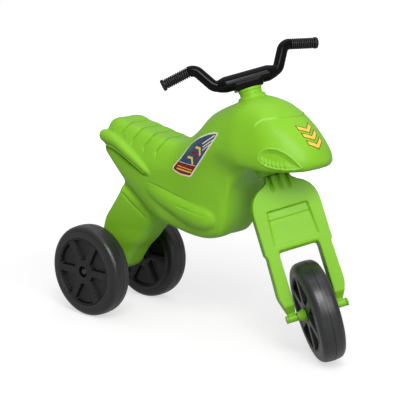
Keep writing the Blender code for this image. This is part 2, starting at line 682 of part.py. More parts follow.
def build_head():
    flange_low = lower_stack() - GAP - LOWER_FLANGE
    inner = STEM_RADIUS + FIT
    flange_top = flange_low + LOWER_FLANGE
    lower = [(inner, flange_top + BUSH_DEPTH), (BUSH_RADIUS, flange_top + BUSH_DEPTH),
             (BUSH_RADIUS, flange_top), (LOWER_FLANGE_RADIUS, flange_top),
             (LOWER_FLANGE_RADIUS, flange_low), (inner, flange_low)]
    put(turned("lower_head_bush", lower), "lower_head_bush", HEAD, look=GREEN)
    top = HEAD_TOP + GAP + COLLAR_HEIGHT
    upper = [(inner, top), (COLLAR_RADIUS - 0.0015, top), (COLLAR_RADIUS, top - 0.0015),
             (COLLAR_RADIUS, HEAD_TOP + GAP), (BUSH_RADIUS, HEAD_TOP + GAP),
             (BUSH_RADIUS, HEAD_TOP + GAP - BUSH_DEPTH), (inner, HEAD_TOP + GAP - BUSH_DEPTH)]
    put(turned("upper_head_bush", upper), "upper_head_bush", HEAD, look=GREEN)
    low = NECK_TOP + GAP
    washer = [(inner, low + WASHER_THICKNESS), (WASHER_RADIUS, low + WASHER_THICKNESS),
              (WASHER_RADIUS, low), (inner, low)]
    put(turned("thrust_washer", washer), "thrust_washer", STEERING, look=STEEL)
    stem_low = NECK_TOP - SOCKET_DEPTH + GAP
    stem_top = top + GAP + STEM_IN_HUB
    put(cylinder("steering_stem", STEM_RADIUS, stem_low, stem_top), "steering_stem", STEERING, look=STEEL)
    return top


def fork_outline():
    """Front view of the fork in (left, up): crown, two legs and the arch over the wheel."""
    half = FORK_WIDTH / 2
    knee = FORK_KNEE_WIDTH / 2
    foot = FORK_FOOT_WIDTH / 2
    inner = FORK_GAP / 2
    corner = 0.006
    low = -FORK_BOSS_RADIUS
    side = []
    rise = FORK_CROWN_TOP - FORK_SHOULDER
    for k in range(5):
        angle = math.pi / 2 * k / 4
        side.append((NECK_HALF_WIDTH + NECK_FILLET * (1 - math.cos(angle)),
                     NECK_TOP - NECK_RISE * math.sin(angle)))
    for k in range(9):
        angle = math.pi / 2 * (1 - k / 8)
        place = (half * abs(math.cos(angle)) ** 0.9, FORK_SHOULDER + rise * math.sin(angle) ** 0.9)
        if place[0] > NECK_HALF_WIDTH + NECK_FILLET + 0.002:
            side.append(place)
    side += [(half, FORK_ARCH + 0.004), (half - 0.0012, FORK_ARCH - 0.002), (knee, FORK_KNEE + 0.008),
             (knee - 0.0012, FORK_KNEE), (foot + 0.0035, 0.016), (foot, 0.006), (foot - 0.002, low),
             (inner + 0.002, low), (inner, 0.002)]
    for k in range(4):
        angle = math.pi / 2 * k / 3
        side.append((inner - corner + corner * math.cos(angle),
                     FORK_ARCH - corner + corner * math.sin(angle)))
    return side + [(-y, z) for y, z in reversed(side) if y > 1e-6]


def channel_cutters():
    """Pockets in the fork's back, with ribs left between them."""
    half = FORK_WIDTH / 2
    inner = FORK_GAP / 2
    back = -FORK_BACK
    for side, word in ((1, "left"), (-1, "right")):
        low = FORK_KNEE
        pitch = (FORK_ARCH - low) / CHANNEL_RIBS
        width = FORK_KNEE_WIDTH / 2 - inner - 2 * CHANNEL_WALL
        for k in range(CHANNEL_RIBS):
            size = (2 * CHANNEL_DEPTH, width, pitch - CHANNEL_WALL)
            centre = (back, side * (inner + CHANNEL_WALL + width / 2), low + pitch * (k + 0.5))
            yield rounded_box(f"{word}_channel_{k + 1}", size, centre)
        inset = NECK_HALF_WIDTH / 4 + CHANNEL_WALL
        width = half - inset - CHANNEL_WALL
        size = (2 * CHANNEL_DEPTH, width, FORK_SHOULDER - FORK_ARCH - CHANNEL_WALL)
        centre = (back, side * (inset + width / 2),
                  (FORK_SHOULDER + FORK_ARCH) / 2 + CHANNEL_WALL)
        yield rounded_box(word + "_crown_channel", size, centre)


def panel(name, low, high, depth, inset):
    """A shallow panel in the fork's front, wider towards the arch."""
    def half(z):
        share = (z - PANEL_BOTTOM) / (PANEL_TOP - PANEL_BOTTOM)
        return (PANEL_WIDTH_BOTTOM + (PANEL_WIDTH_TOP - PANEL_WIDTH_BOTTOM) * share) / 2 - inset
    outline = [(-half(low), low), (half(low), low), (half(high), high), (-half(high), high)]
    thick = 0.010
    place = Matrix.Translation((FORK_FRONT - depth + thick / 2, 0, 0)) @ FACING
    return plate(name, outline, thick), place


def build_fork():
    thick = FORK_FRONT + FORK_BACK
    middle = (FORK_FRONT - FORK_BACK) / 2
    fork = put(plate("front_fork", fork_outline(), thick, FORK_EDGE), "front_fork", STEERING,
               Matrix.Translation((middle, 0, 0)) @ FACING, look=GREEN)
    neck = put(cylinder("fork_neck", NECK_RADIUS, NECK_TOP - NECK_HEIGHT, NECK_TOP), "fork_neck", STEERING,
               cutter=True)
    combine(fork, neck, "UNION")
    combine(fork, put(foot_chamfer("foot_chamfer"), "foot_chamfer", STEERING, cutter=True), "DIFFERENCE")
    for side, word in ((1, "left"), (-1, "right")):
        ends = sorted((side * (FORK_GAP / 2 + 0.0002), side * FORK_BOSS_WIDTH / 2))
        boss = put(cylinder(word + "_fork_boss", FORK_BOSS_RADIUS + 0.0004, *ends, axis="Y",
                            at=(FORK_OFFSET, 0, 0)), word + "_fork_boss", STEERING, cutter=True)
        combine(fork, boss, "UNION")
    steps = (("panel", PANEL_BOTTOM, PANEL_TOP, PANEL_DEPTH, 0.0),
             ("panel_step", PANEL_STEP, PANEL_TOP - 0.001, PANEL_STEP_DEPTH, 0.001))
    for name, low, high, depth, inset in steps:
        mesh, place = panel(name, low, high, depth, inset)
        combine(fork, put(mesh, name, STEERING, place, cutter=True), "DIFFERENCE")
    thick = 0.030
    tilt = Matrix.Rotation(math.atan2(SLOT_DEPTH, SLOT_LENGTH), 4, "Y")
    for k in (-1, 0, 1):
        name = f"slot_{k + 2}"
        foot = Vector((FORK_FRONT, k * SLOT_PITCH, NECK_TOP - SLOT_LENGTH))
        slot = rounded_box(name, (thick, SLOT_WIDTH, 2 * SLOT_LENGTH), (thick / 2, 0, SLOT_LENGTH))
        place = Matrix.Translation(foot) @ tilt.inverted()
        combine(fork, put(slot, name, STEERING, place, cutter=True), "DIFFERENCE")
    for mesh in channel_cutters():
        combine(fork, put(mesh, mesh.name, STEERING, cutter=True), "DIFFERENCE")
    socket = put(cylinder("stem_socket", STEM_RADIUS + FIT, NECK_TOP - SOCKET_DEPTH, NECK_TOP + 0.01),
                 "stem_socket", STEERING, cutter=True)
    combine(fork, socket, "DIFFERENCE")
    axle = put(cylinder("fork_axle_bore", AXLE_RADIUS + FIT, -FORK_WIDTH, FORK_WIDTH, axis="Y",
                        at=(FORK_OFFSET, 0, 0)), "fork_axle_bore", STEERING, cutter=True)
    combine(fork, axle, "DIFFERENCE")
    low = NECK_TOP - SOCKET_DEPTH * 0.7
    screw_hole(fork, "fork_screw", low, NECK_RADIUS)
    return fork


def foot_chamfer(name):
    """Cuts the front of both feet back above the axle's bosses, which then stand clear of the legs."""
    half = FORK_WIDTH / 2
    high = Vector((FORK_FRONT, 0, FOOT_CHAMFER_TOP))
    low = Vector((0.0, 0, FOOT_CHAMFER_LOW))
    over = (high - low) * 0.6
    forward = Vector((FORK_WIDTH / 2, 0, 0))
    below = low - over * 1.2
    outline = [high + over, below, below + forward, high + over + forward]
    bm = bmesh.new()
    rings = [[bm.verts.new((p.x, y, p.z)) for p in outline] for y in (-half, half)]
    for i in range(4):
        j = (i + 1) % 4
        bm.faces.new((rings[0][i], rings[0][j], rings[1][j], rings[1][i]))
    bm.faces.new(rings[0])
    bm.faces.new(rings[1])
    return mesh_from(bm, name)


def screw_hole(target, name, height, back):
    """A screw from behind through a wall into the stem, and its holes."""
    tip = 0.002
    hole = put(cylinder(name + "_hole", SCREW_RADIUS + FIT, -back - 0.01, 0.0, 8, "X", (0, 0, height)),
               name + "_hole", STEERING, cutter=True)
    combine(target, hole, "DIFFERENCE")
    combine(bpy.data.objects["steering_stem"], hole, "DIFFERENCE")
    head_low = back + GAP
    profile = [(0.0, head_low + SCREW_HEAD_HEIGHT), (SCREW_HEAD_RADIUS * 0.7, head_low + SCREW_HEAD_HEIGHT),
               (SCREW_HEAD_RADIUS, head_low + SCREW_HEAD_HEIGHT * 0.5), (SCREW_HEAD_RADIUS, head_low),
               (SCREW_RADIUS, head_low), (SCREW_RADIUS, tip), (0.0, tip)]
    place = Matrix.Translation((0, 0, height)) @ Matrix.Rotation(-math.pi / 2, 4, "Y")
    put(turned(name, profile, 8, closed=False), name, STEERING, place, look=STEEL)


def build_handlebar(hub_low):
    centre = Vector((0.0, 0.0, hub_low + BAR_ABOVE_HUB))
    corners = [centre + Vector(c) for c in (BAR_END, BAR_HIGH_CORNER, BAR_LOW_CORNER)] + [centre]
    grip_way = (corners[0] - corners[1]).normalized()
    grip_start = bend_run(*corners[:3], BAR_BEND) + GRIP_MARGIN
    step = corners[1] + grip_way * grip_start
    stub_end = corners[0] - grip_way * 0.0035
    arc = bent([step, corners[1], corners[2], corners[3]], BAR_BEND)
    half = [stub_end, step + grip_way * 0.0002] + arc
    radii = [GRIP_BORE - FIT] * 2 + [BAR_RADIUS] * len(arc)
    mirror = [Vector((p.x, -p.y, p.z)) for p in half]
    path = half + mirror[::-1][1:]
    bar = put(tube("handlebar", path, radii + radii[::-1][1:], 4), "handlebar", STEERING, look=BLACK)
    rise = BAR_LOW_CORNER[2]
    middle = [(-1.0, 0.62), (-0.94, 0.9), (-0.8, 1.0), (0.0, 1.0), (0.8, 1.0), (0.94, 0.9), (1.0, 0.62)]
    points = [centre + Vector((0, share * BAR_MIDDLE_HALF, abs(share) * rise)) for share, _ in middle]
    fat = put(tube("bar_middle", points, [BAR_MIDDLE_RADIUS * size for _, size in middle], 5), "bar_middle",
              STEERING, cutter=True)
    combine(bar, fat, "UNION")
    hub_high = centre.z + 0.004
    hub = put(rounded_box("bar_hub", (HUB_LENGTH, HUB_WIDTH, hub_high - hub_low),
                          (0, 0, (hub_high + hub_low) / 2), 0.002), "bar_hub", STEERING, cutter=True)
    combine(bar, hub, "UNION")
    socket = put(cylinder("hub_socket", STEM_RADIUS + FIT, hub_low - 0.01, hub_low + STEM_IN_HUB + GAP),
                 "hub_socket", STEERING, cutter=True)
    combine(bar, socket, "DIFFERENCE")
    screw_hole(bar, "handlebar_screw", hub_low + 0.0065, HUB_LENGTH / 2)
    for side, word in ((1, "left"), (-1, "right")):
        way = Vector((grip_way.x, side * grip_way.y, grip_way.z))
        corner = Vector((corners[1].x, side * corners[1].y, corners[1].z))
        place = Matrix.Translation(corner) @ way.to_track_quat("Z", "X").to_matrix().to_4x4()
        length = (corners[0] - corners[1]).length
        put(grip(word + "_grip", grip_start, length), word + "_grip", STEERING, place, look=RUBBER)


def grip(name, bar_step, length):
    """A ribbed sleeve with a blind bore and a round end flange, along Z from the bar's bend."""
    start = bar_step + GAP + 0.0002
    low = length - GRIP_FLANGE_LENGTH
    bore_end = length - 0.0032
    pitch = (low - start) / GRIP_RIBS
    profile = [(0.0, length + 0.0008), (GRIP_FLANGE_RADIUS * 0.7, length),
               (GRIP_FLANGE_RADIUS, length - 0.0018), (GRIP_FLANGE_RADIUS, low + 0.0008)]
    for k in range(GRIP_RIBS):
        foot = low - pitch * k
        profile += [(GRIP_RADIUS - GRIP_GROOVE, foot), (GRIP_RADIUS, foot - pitch * 0.4)]
    profile += [(GRIP_RADIUS - GRIP_GROOVE, start), (GRIP_BORE, start), (GRIP_BORE, bore_end),
                (0.0, bore_end)]
    return turned(name, profile, 12, closed=False)


def tyre_profile():
    half = WHEEL_WIDTH / 2
    tread = TREAD_WIDTH / 2
    drop = SHOULDER_DROP
    bore = RIM_RADIUS + FIT
    up = [(bore, half), (WHEEL_RADIUS - drop, half),
          (WHEEL_RADIUS - drop * 0.52, half - drop * 0.15), (WHEEL_RADIUS - drop * 0.17, half - drop * 0.46),
          (WHEEL_RADIUS, tread)]
    return up + [(r, -z) for r, z in reversed(up)]


def pocket_outline(middle):
    """A pocket between two spokes, with sides along the spokes and rounded outer corners."""
    outer = math.pi / SPOKES - math.asin(SPOKE_WIDTH / 2 / POCKET_OUTER)
    inner = math.pi / SPOKES - math.asin(SPOKE_WIDTH / 2 / POCKET_INNER)
    turn = POCKET_CORNER / POCKET_OUTER
    below = POCKET_OUTER - POCKET_CORNER
    side = math.pi / SPOKES - math.asin(SPOKE_WIDTH / 2 / below)
    corner = POCKET_OUTER - POCKET_CORNER * 0.3
    polar = [(POCKET_INNER, inner), (below, side), (corner, (side + outer - turn * 0.6) / 2),
             (POCKET_OUTER, outer - turn)]
    ring = polar + [(POCKET_OUTER, 0.0)] + [(r, -a) for r, a in reversed(polar)]
    return [(r * math.cos(middle + a), r * math.sin(middle + a)) for r, a in ring]


def pocket_prisms(name, first_spoke):
    """All pockets of both faces of a rim."""
    bm = bmesh.new()
    face = WHEEL_WIDTH / 2 - RIM_INSET
    for k in range(SPOKES):
        outline = pocket_outline(first_spoke + 2 * math.pi * (k + 0.5) / SPOKES)
        for low, high in ((face - POCKET_DEPTH, face + 0.005), (-face - 0.005, POCKET_DEPTH - face)):
            ring = [bm.verts.new((x, y, low)) for x, y in outline]
            base = bm.faces.new(ring)
            raised = bmesh.ops.extrude_face_region(bm, geom=[base])
            top = [v for v in raised["geom"] if isinstance(v, bmesh.types.BMVert)]
            bmesh.ops.translate(bm, vec=(0, 0, high - low), verts=top)
    return mesh_from(bm, name)


def rim_profile():
    face = WHEEL_WIDTH / 2 - RIM_INSET
    bore = AXLE_RADIUS + FIT + HUB_BUSH_WALL + FIT
    seat = face - HUB_RECESS_DEPTH
    edge = 0.0008
    return [(bore, seat), (HUB_RECESS_RADIUS, seat), (HUB_RECESS_RADIUS, face), (RIM_RADIUS - edge, face),
            (RIM_RADIUS, face - edge), (RIM_RADIUS, edge - face), (RIM_RADIUS - edge, -face), (bore, -face)]


def hub_bush_profile():
    face = WHEEL_WIDTH / 2 - RIM_INSET
    inner = AXLE_RADIUS + FIT
    outer = inner + HUB_BUSH_WALL
    seat = face - HUB_RECESS_DEPTH + GAP
    flange = HUB_RECESS_RADIUS - FIT
    return [(inner, seat + HUB_FLANGE), (flange, seat + HUB_FLANGE), (flange, seat), (outer, seat),
            (outer, -face), (inner, -face)]


def build_wheel(word, axis, out, down, first_spoke):
    """A tyre, its spoked rim and its bush; out is the side of the hub's recess, down the way to the floor.

    The first spoke's angle is measured from the wheel's forward direction.
    """
    angle = math.atan2(-out * down[1], down[0]) + math.pi / WHEEL_STEPS
    lay = Matrix.Rotation(-out * math.pi / 2, 4, "X")
    place = lay @ Matrix.Rotation(angle, 4, "Z")
    put(turned(word + "_tyre", tyre_profile(), WHEEL_STEPS), word + "_tyre", axis, place, look=TYRE)
    rim = put(turned(word + "_rim", rim_profile(), WHEEL_STEPS), word + "_rim", axis, place, look=RIM)
    pockets = put(pocket_prisms(word + "_pockets", first_spoke), word + "_pockets", axis, lay, cutter=True)
    combine(rim, pockets, "DIFFERENCE")
    put(turned(word + "_hub_bush", hub_bush_profile()), word + "_hub_bush", axis, place, look=NYLON)


def cap_profile(axle_end, base):
    """A push-on cap over the axle's end, along Z from the hub."""
    bore = AXLE_RADIUS + FIT
    return [(0.0, base + CAP_HEIGHT), (CAP_RADIUS * 0.55, base + CAP_HEIGHT * 0.9),
            (CAP_RADIUS * 0.88, base + CAP_HEIGHT * 0.6), (CAP_RADIUS, base + CAP_HEIGHT * 0.3),
            (CAP_RADIUS, base), (bore, base), (bore, axle_end + GAP), (0.0, axle_end + GAP)]


def build_rear():
    face = WHEEL_WIDTH / 2 - RIM_INSET
    flange = REAR_TRACK / 2 + face - HUB_RECESS_DEPTH + GAP + HUB_FLANGE
    axle_end = flange + GAP + CAP_HEIGHT * 0.6
    put(cylinder("rear_axle", AXLE_RADIUS, -axle_end, axle_end, axis="Y"), "rear_axle", REAR, look=STEEL)
    for side, word in ((1, "left"), (-1, "right")):
        axis = empty(f"rear_{word}_axis", REAR, Matrix.Translation((0, side * REAR_TRACK / 2, 0)))
        build_wheel(f"rear_{word}", axis, side, (0.0, -1.0), REAR_SPOKE)
        lay = Matrix.Rotation(-side * math.pi / 2, 4, "X")
        cap = cap_profile(axle_end, flange + GAP)
        put(turned(f"rear_{word}_axle_cap", cap, closed=False), f"rear_{word}_axle_cap", REAR, lay,
            look=CHROME)
        low = REAR_TRACK / 2 - face - GAP - REAR_WASHER
        inner = AXLE_RADIUS + FIT
        ring = [(inner, low + REAR_WASHER), (REAR_WASHER_RADIUS, low + REAR_WASHER),
                (REAR_WASHER_RADIUS, low), (inner, low)]
        put(turned(f"rear_{word}_washer", ring), f"rear_{word}_washer", REAR, lay, look=STEEL)


def build_front():
    axis = empty("front_wheel_axis", STEERING, Matrix.Translation((FORK_OFFSET, 0, 0)))
    build_wheel("front", axis, -1, FRONT_DOWN, FRONT_SPOKE)
    boss_end = FORK_BOSS_WIDTH / 2
    cap_wall = 0.0016
    axle_end = boss_end + 0.0015
    put(cylinder("front_axle", AXLE_RADIUS, -axle_end, axle_end, axis="Y"), "front_axle", axis, look=STEEL)
    face = WHEEL_WIDTH / 2 - RIM_INSET
    leg = FORK_GAP / 2 - GAP
    inner = AXLE_RADIUS + FIT
    foot = 0.0078
    head = HUB_RECESS_RADIUS - 0.0004
    left = [(inner, leg), (foot, leg), (head, face + 0.004), (head, face + GAP), (inner, face + GAP)]
    nose = face - HUB_RECESS_DEPTH + 2 * GAP + HUB_FLANGE
    right = [(inner, leg), (foot, leg), (head, face + 0.004), (head, nose), (inner, nose)]
    for side, word, profile in ((1, "left", left), (-1, "right", right)):
        lay = Matrix.Rotation(-side * math.pi / 2, 4, "X")
        put(turned(f"front_{word}_spacer", profile), f"front_{word}_spacer", axis, lay, look=GREEN)
        base = boss_end + GAP
        outer = FORK_BOSS_RADIUS + 0.0002
        cap = [(0.0, axle_end + GAP + cap_wall), (outer - 0.001, axle_end + GAP + cap_wall),
               (outer, axle_end + GAP + cap_wall - 0.001), (outer, base), (inner, base),
               (inner, axle_end + GAP), (0.0, axle_end + GAP)]
        put(turned(f"front_{word}_axle_cap", cap, closed=False), f"front_{word}_axle_cap", axis, lay,
            look=GREEN)


def centre_on_floor():
    """Moves the whole bike so that the middle of its box stands over the origin."""
    bpy.context.view_layer.update()
    graph = bpy.context.evaluated_depsgraph_get()
    corners = []
    for piece in PARTS.objects:
        if piece.type == "MESH":
            mesh = piece.evaluated_get(graph).data
            corners += [piece.matrix_world @ vertex.co for vertex in mesh.vertices]
    for i in (0, 1):
        values = [corner[i] for corner in corners]
        BIKE.location[i] = -(min(values) + max(values)) / 2


clear_scene()
PARTS = collection("kids_ride_on_motorcycle")
CUTTERS = collection("cutters_and_joined_forms")
GREEN = material("lime_green_plastic", (0.26, 0.58, 0.03), 0.35)
BLACK = material("gloss_black_plastic", (0.012, 0.012, 0.013), 0.25)
RUBBER = material("black_grip_rubber", (0.016, 0.016, 0.017), 0.5)
TYRE = material("dark_grey_tyre", (0.045, 0.045, 0.047), 0.6)
RIM = material("dark_grey_rim", (0.05, 0.05, 0.052), 0.55)
NYLON = material("black_nylon", (0.02, 0.02, 0.02), 0.5)
STEEL = material("bare_steel", (0.5, 0.5, 0.5), 0.35, 1.0)
CHROME = material("bright_cap", (0.7, 0.7, 0.7), 0.2, 1.0)

# Where the axles and the steering axis lie, so that all three tyres stand on the floor with the fork turned
APOTHEM = math.cos(math.pi / WHEEL_STEPS)
REAR_AXLE_Z = WHEEL_RADIUS * APOTHEM
LEAN = math.asin(math.sin(TURNED) * math.sin(RAKE))
FRONT_AXLE_Z = max(r * APOTHEM * math.cos(LEAN) + z * math.sin(LEAN) for r, z in tyre_profile())
FORWARD_RISE = math.cos(TURNED) * math.sin(RAKE)
HEAD_X = WHEELBASE - FORK_OFFSET * math.cos(RAKE)
HEAD_Z = FRONT_AXLE_Z - FORK_OFFSET * FORWARD_RISE
FRONT_DOWN = (-FORWARD_RISE, -math.cos(RAKE))
FACING = Matrix(((0, 0, 1, 0), (1, 0, 0, 0), (0, 1, 0, 0), (0, 0, 0, 1)))

BIKE = empty("bike")
REAR = empty("rear_axle_line", BIKE, Matrix.Translation((0, 0, REAR_AXLE_Z)))
HEAD = empty("head_axis", BIKE, Matrix.Translation((HEAD_X, 0, HEAD_Z)) @ Matrix.Rotation(-RAKE, 4, "Y"))
STEERING = empty("steering_axis", HEAD, Matrix.Rotation(-TURNED, 4, "Z"))

build_body()
HUB_LOW = build_head() + GAP
build_fork()
build_handlebar(HUB_LOW)
build_rear()
build_front()
centre_on_floor()
bpy.context.view_layer.update()
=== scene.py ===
"""Looks of the kids ride-on motorcycle: finer meshes, materials, stickers, light and camera."""
import json
import math
from contextlib import contextmanager

import bmesh
import bpy
import numpy as np
from mathutils import Matrix, Vector
from mathutils.bvhtree import BVHTree

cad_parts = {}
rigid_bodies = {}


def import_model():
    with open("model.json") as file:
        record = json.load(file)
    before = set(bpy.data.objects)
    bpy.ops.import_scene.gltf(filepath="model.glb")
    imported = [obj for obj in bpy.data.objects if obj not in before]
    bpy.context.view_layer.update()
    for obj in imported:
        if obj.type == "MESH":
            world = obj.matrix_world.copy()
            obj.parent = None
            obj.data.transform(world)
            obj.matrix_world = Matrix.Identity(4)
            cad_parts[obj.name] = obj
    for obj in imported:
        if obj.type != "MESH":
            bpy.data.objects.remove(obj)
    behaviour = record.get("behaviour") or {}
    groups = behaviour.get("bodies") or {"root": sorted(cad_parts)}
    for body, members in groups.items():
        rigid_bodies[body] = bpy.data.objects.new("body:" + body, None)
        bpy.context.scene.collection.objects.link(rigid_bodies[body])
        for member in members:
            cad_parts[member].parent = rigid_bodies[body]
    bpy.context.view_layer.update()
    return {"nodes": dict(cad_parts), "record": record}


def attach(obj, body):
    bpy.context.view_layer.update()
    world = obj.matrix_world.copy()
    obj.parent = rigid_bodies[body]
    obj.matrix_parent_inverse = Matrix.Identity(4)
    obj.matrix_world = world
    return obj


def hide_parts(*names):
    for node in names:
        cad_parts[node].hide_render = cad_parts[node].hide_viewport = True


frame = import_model()
SIDES = ((1, "left"), (-1, "right"))
JOIN = "UNION"
CUT = "DIFFERENCE"
WHITE = (1.0, 1.0, 1.0, 1.0)


def metres(table):
    """A nested table of millimetres in metres."""
    return table / 1000 if isinstance(table, (int, float)) else tuple(metres(row) for row in table)


# Places of the frame: the bike from its rear axle, the head's raked axis, and the turned steering
BIKE_ORIGIN = Vector((-0.235106, -0.010251, 0.0))
HEAD_FOOT = (0.240544, -0.010251, 0.088542)
RAKE = math.radians(22.24)
TURNED = math.radians(40.4)
BIKE = Matrix.Translation(BIKE_ORIGIN)
HEAD = Matrix.Translation(HEAD_FOOT) @ Matrix.Rotation(-RAKE, 4, "Y")
STEER = HEAD @ Matrix.Rotation(-TURNED, 4, "Z")

# Camera
TARGET = BIKE_ORIGIN + Vector((0.2092, 0.0, 0.2452))
AZIMUTH = math.radians(40.81)
ELEVATION = math.radians(12.84)
DISTANCE = 2.0964
LENS = 102.05

# Floor, room and lamps
FLOOR_RADIUS = 9.0
FLOOR_LEVEL = 0.42
FLOOR_GLOW = 0.62
FLOOR_NEAR = 0.55
FLOOR_FAR = 1.3
FLOOR_SHINE = 0.35
ROOM_SHINE = 0.35
ROOM_LOW = 0.13
ROOM_HIGH = 0.55
LAMPS = (("key", (1.35, -1.45, 2.15), 1.0, 42.0), ("fill", (2.1, -1.15, 1.35), 1.2, 24.0),
         ("top", (-0.3, 0.1, 2.7), 2.0, 10.0))
LAMP_TARGET = Vector((0.0, 0.0, 0.25))

# Fits shared with the frame
GAP = 0.0003
FIT = 0.0003

# Wheels
WHEEL_RADIUS = 0.0894
WHEEL_WIDTH = 0.0446
WHEEL_ROOM = 0.0448
TREAD_WIDTH = 0.019
SHOULDER_DROP = 0.0125
RIM_RADIUS = 0.0656
RIM_INSET = 0.0010
AXLE_RADIUS = 0.005
REAR_TRACK = 0.1636
REAR_AXLE_Z = 0.089567
SPOKES = 6
SPOKE_WIDTH = 0.0138
POCKET_INNER = 0.024
POCKET_OUTER = 0.0632
POCKET_CORNER = 0.006
POCKET_DEPTH = 0.007
REAR_SPOKE = math.radians(1)
FRONT_SPOKE = math.radians(20)
HUB_RECESS_RADIUS = 0.011
HUB_RECESS_DEPTH = 0.008
HUB_BUSH_WALL = 0.0037
HUB_FLANGE = 0.0017
FORK_OFFSET = 0.0047

# Head
STEM_RADIUS = 0.009
SCREW_RADIUS = 0.0023
BUSH_RADIUS = 0.0147
BUSH_DEPTH = 0.016
HEAD_TOP = 0.390
HEAD_FLANGE_RADIUS = 0.0242
COLLAR_RADIUS = 0.0208
COLLAR_HEIGHT = 0.0124
BOSS_LOW = 0.2514
BOSS_RADIUS = 0.032
BOSS_HEIGHT = 0.040

# Fork
FORK_WIDTH = 0.122
FORK_FRONT = 0.016
FORK_BACK = 0.013
FORK_KNEE_WIDTH = 0.120
FORK_FOOT_WIDTH = 0.100
FORK_KNEE = 0.033
FORK_ARCH = 0.1136
FORK_GAP = 0.073
FORK_SHOULDER = 0.180
FORK_CROWN_TOP = 0.234
NECK_RISE = 0.0125
NECK_TOP = FORK_CROWN_TOP + NECK_RISE
NECK_HALF_WIDTH = 0.021
NECK_FILLET = 0.006
NECK_RADIUS = 0.016
NECK_HEIGHT = 0.060
FORK_BOSS_RADIUS = 0.0068
FORK_BOSS_WIDTH = 0.106
PANEL_BOTTOM = 0.127
PANEL_TOP = 0.187
PANEL_WIDTH_BOTTOM = 0.0814
PANEL_WIDTH_TOP = 0.073
SLOT_WIDTH = 0.005
SLOT_PITCH = 0.0155
SLOT_DEPTH = 0.0065
SLOT_LENGTH = 0.031
FOOT_CHAMFER_TOP = 0.022
FOOT_CHAMFER_LOW = 0.0045
SOCKET_DEPTH = 0.070
CHANNEL_DEPTH = 0.018
CHANNEL_WALL = 0.0045
CHANNEL_RIBS = 3

# Handlebar and grips
BAR_RADIUS = 0.010
BAR_MIDDLE_RADIUS = 0.0142
BAR_MIDDLE_HALF = 0.056
BAR_LOW_CORNER = (0.0, 0.058, 0.0055)
BAR_HIGH_CORNER = (-0.008, 0.0825, 0.0465)
BAR_END = (-0.018, 0.1450, 0.0345)
BAR_BEND = 0.016
HUB_WIDTH = 0.051
HUB_BACK = 0.017
HUB_FRONT = 0.0146
HUB_FOOT = 0.0106
HUB_LOW = HEAD_TOP + COLLAR_HEIGHT + 2 * GAP
BAR_ABOVE_HUB = 0.013
STEM_IN_HUB = 0.017
GRIP_RADIUS = 0.0098
GRIP_GROOVE = 0.0021
GRIP_BORE = 0.0073
GRIP_MARGIN = 0.0006
GRIP_FLANGE_RADIUS = 0.0104
GRIP_FLANGE_LENGTH = 0.0078
GRIP_RIBS = 12

# Body, from the rear axle: guide curves that the loft runs along, as (x, half width, z)
BODY_TOP = metres(((3, 0, 382.5), (24, 0, 383.5), (60, 0, 376.5), (105, 0, 366.5), (149, 0, 357),
        (174, 0, 355), (200, 0, 366), (236, 0, 400), (256, 0, 415), (300, 0, 435), (352, 0, 452.5),
        (376, 0, 449), (426, 0, 424), (467, 0, 390), (489, 0, 356)))
BODY_SHOULDER = metres(((3, 35, 379), (24, 36.5, 380.5), (60, 34.5, 373.5), (105, 34, 363.5),
        (149, 34, 354), (178, 33, 350), (218, 30, 365), (256, 40, 396), (300, 46, 417), (352, 50, 433.5),
        (385, 50.5, 428.5), (400, 50, 422), (430, 44, 406), (455, 36, 388), (475, 28, 370),
        (489, 22, 356)))
BODY_FLANK = metres(((3, 48, 352), (30, 50, 350), (135, 55, 318), (178, 56, 312), (218, 58, 330),
        (256, 63, 352), (300, 68, 366), (350, 74, 364), (400, 74, 360), (430, 67, 357), (455, 55, 354),
        (475, 40, 352), (489, 26, 350)))
BODY_TUCK = metres(((3, 46, 338), (30, 52, 335), (135, 58, 288), (200, 60, 290), (256, 61, 305),
        (300, 60, 322), (330, 62, 328), (363, 70, 337.5), (400, 70.5, 337), (430, 63, 338),
        (455, 51.5, 340), (475, 36.5, 342.5), (489, 22, 346)))
BODY_HEM = metres(((3, 46, 332), (15, 49.5, 321), (31, 50, 305), (65.5, 50.5, 273.5), (120, 55, 241),
        (170, 57, 214.5), (250, 56, 212.5), (296, 52, 228), (312, 50, 262), (326, 48, 300),
        (345, 48, 320), (363, 50, 331), (400, 50, 332), (430, 45, 333), (455, 36, 335), (475, 24, 338.5),
        (489, 12, 342)))
BODY_KEEL = metres(((3, 32, 326), (30, 38, 298), (62, 42, 266), (120, 46, 220), (170, 47, 203),
        (250, 44, 190), (290, 42, 199), (308, 40, 225), (322, 38, 290), (340, 36, 314), (363, 34, 333),
        (430, 26, 335.5), (455, 20, 336), (475, 12, 338), (489, 6, 341)))
BODY_BOTTOM = metres(((3, 0, 325), (30, 0, 296), (62, 0, 263), (120, 0, 216), (170, 0, 203),
        (250, 0, 187), (290, 0, 197), (308, 0, 223), (322, 0, 288), (340, 0, 313), (363, 0, 333),
        (430, 0, 335), (455, 0, 336), (475, 0, 337.5), (489, 0, 340.5)))
BODY_CURVES = (BODY_TOP, BODY_SHOULDER, BODY_FLANK, BODY_TUCK, BODY_HEM, BODY_KEEL, BODY_BOTTOM)
TAIL_X = -0.002
TAIL_ROUND = 0.018
NOSE_X = 0.487
NOSE_ROUND = 0.018
SEAT_GROOVES = 4
SEAT_GROOVE_START = 0.0615
SEAT_GROOVE_PITCH = 0.031
SEAT_CENTRES = SEAT_GROOVE_START + SEAT_GROOVE_PITCH * np.arange(SEAT_GROOVES)
SEAT_BOW = 0.0065
SEAT_BOW_HALF = 0.034
SEAT_LEAN = 0.5
SEAT_LEAN_DROP = 0.022
SEAT_LEAN_FADE = 0.060
SEAT_START = 0.030
SEAT_FULL = 0.054
SEAT_FADE = 0.1615
SEAT_END = 0.190
TAIL_SLANT = 0.007
TAIL_SLANT_LOW = 0.335
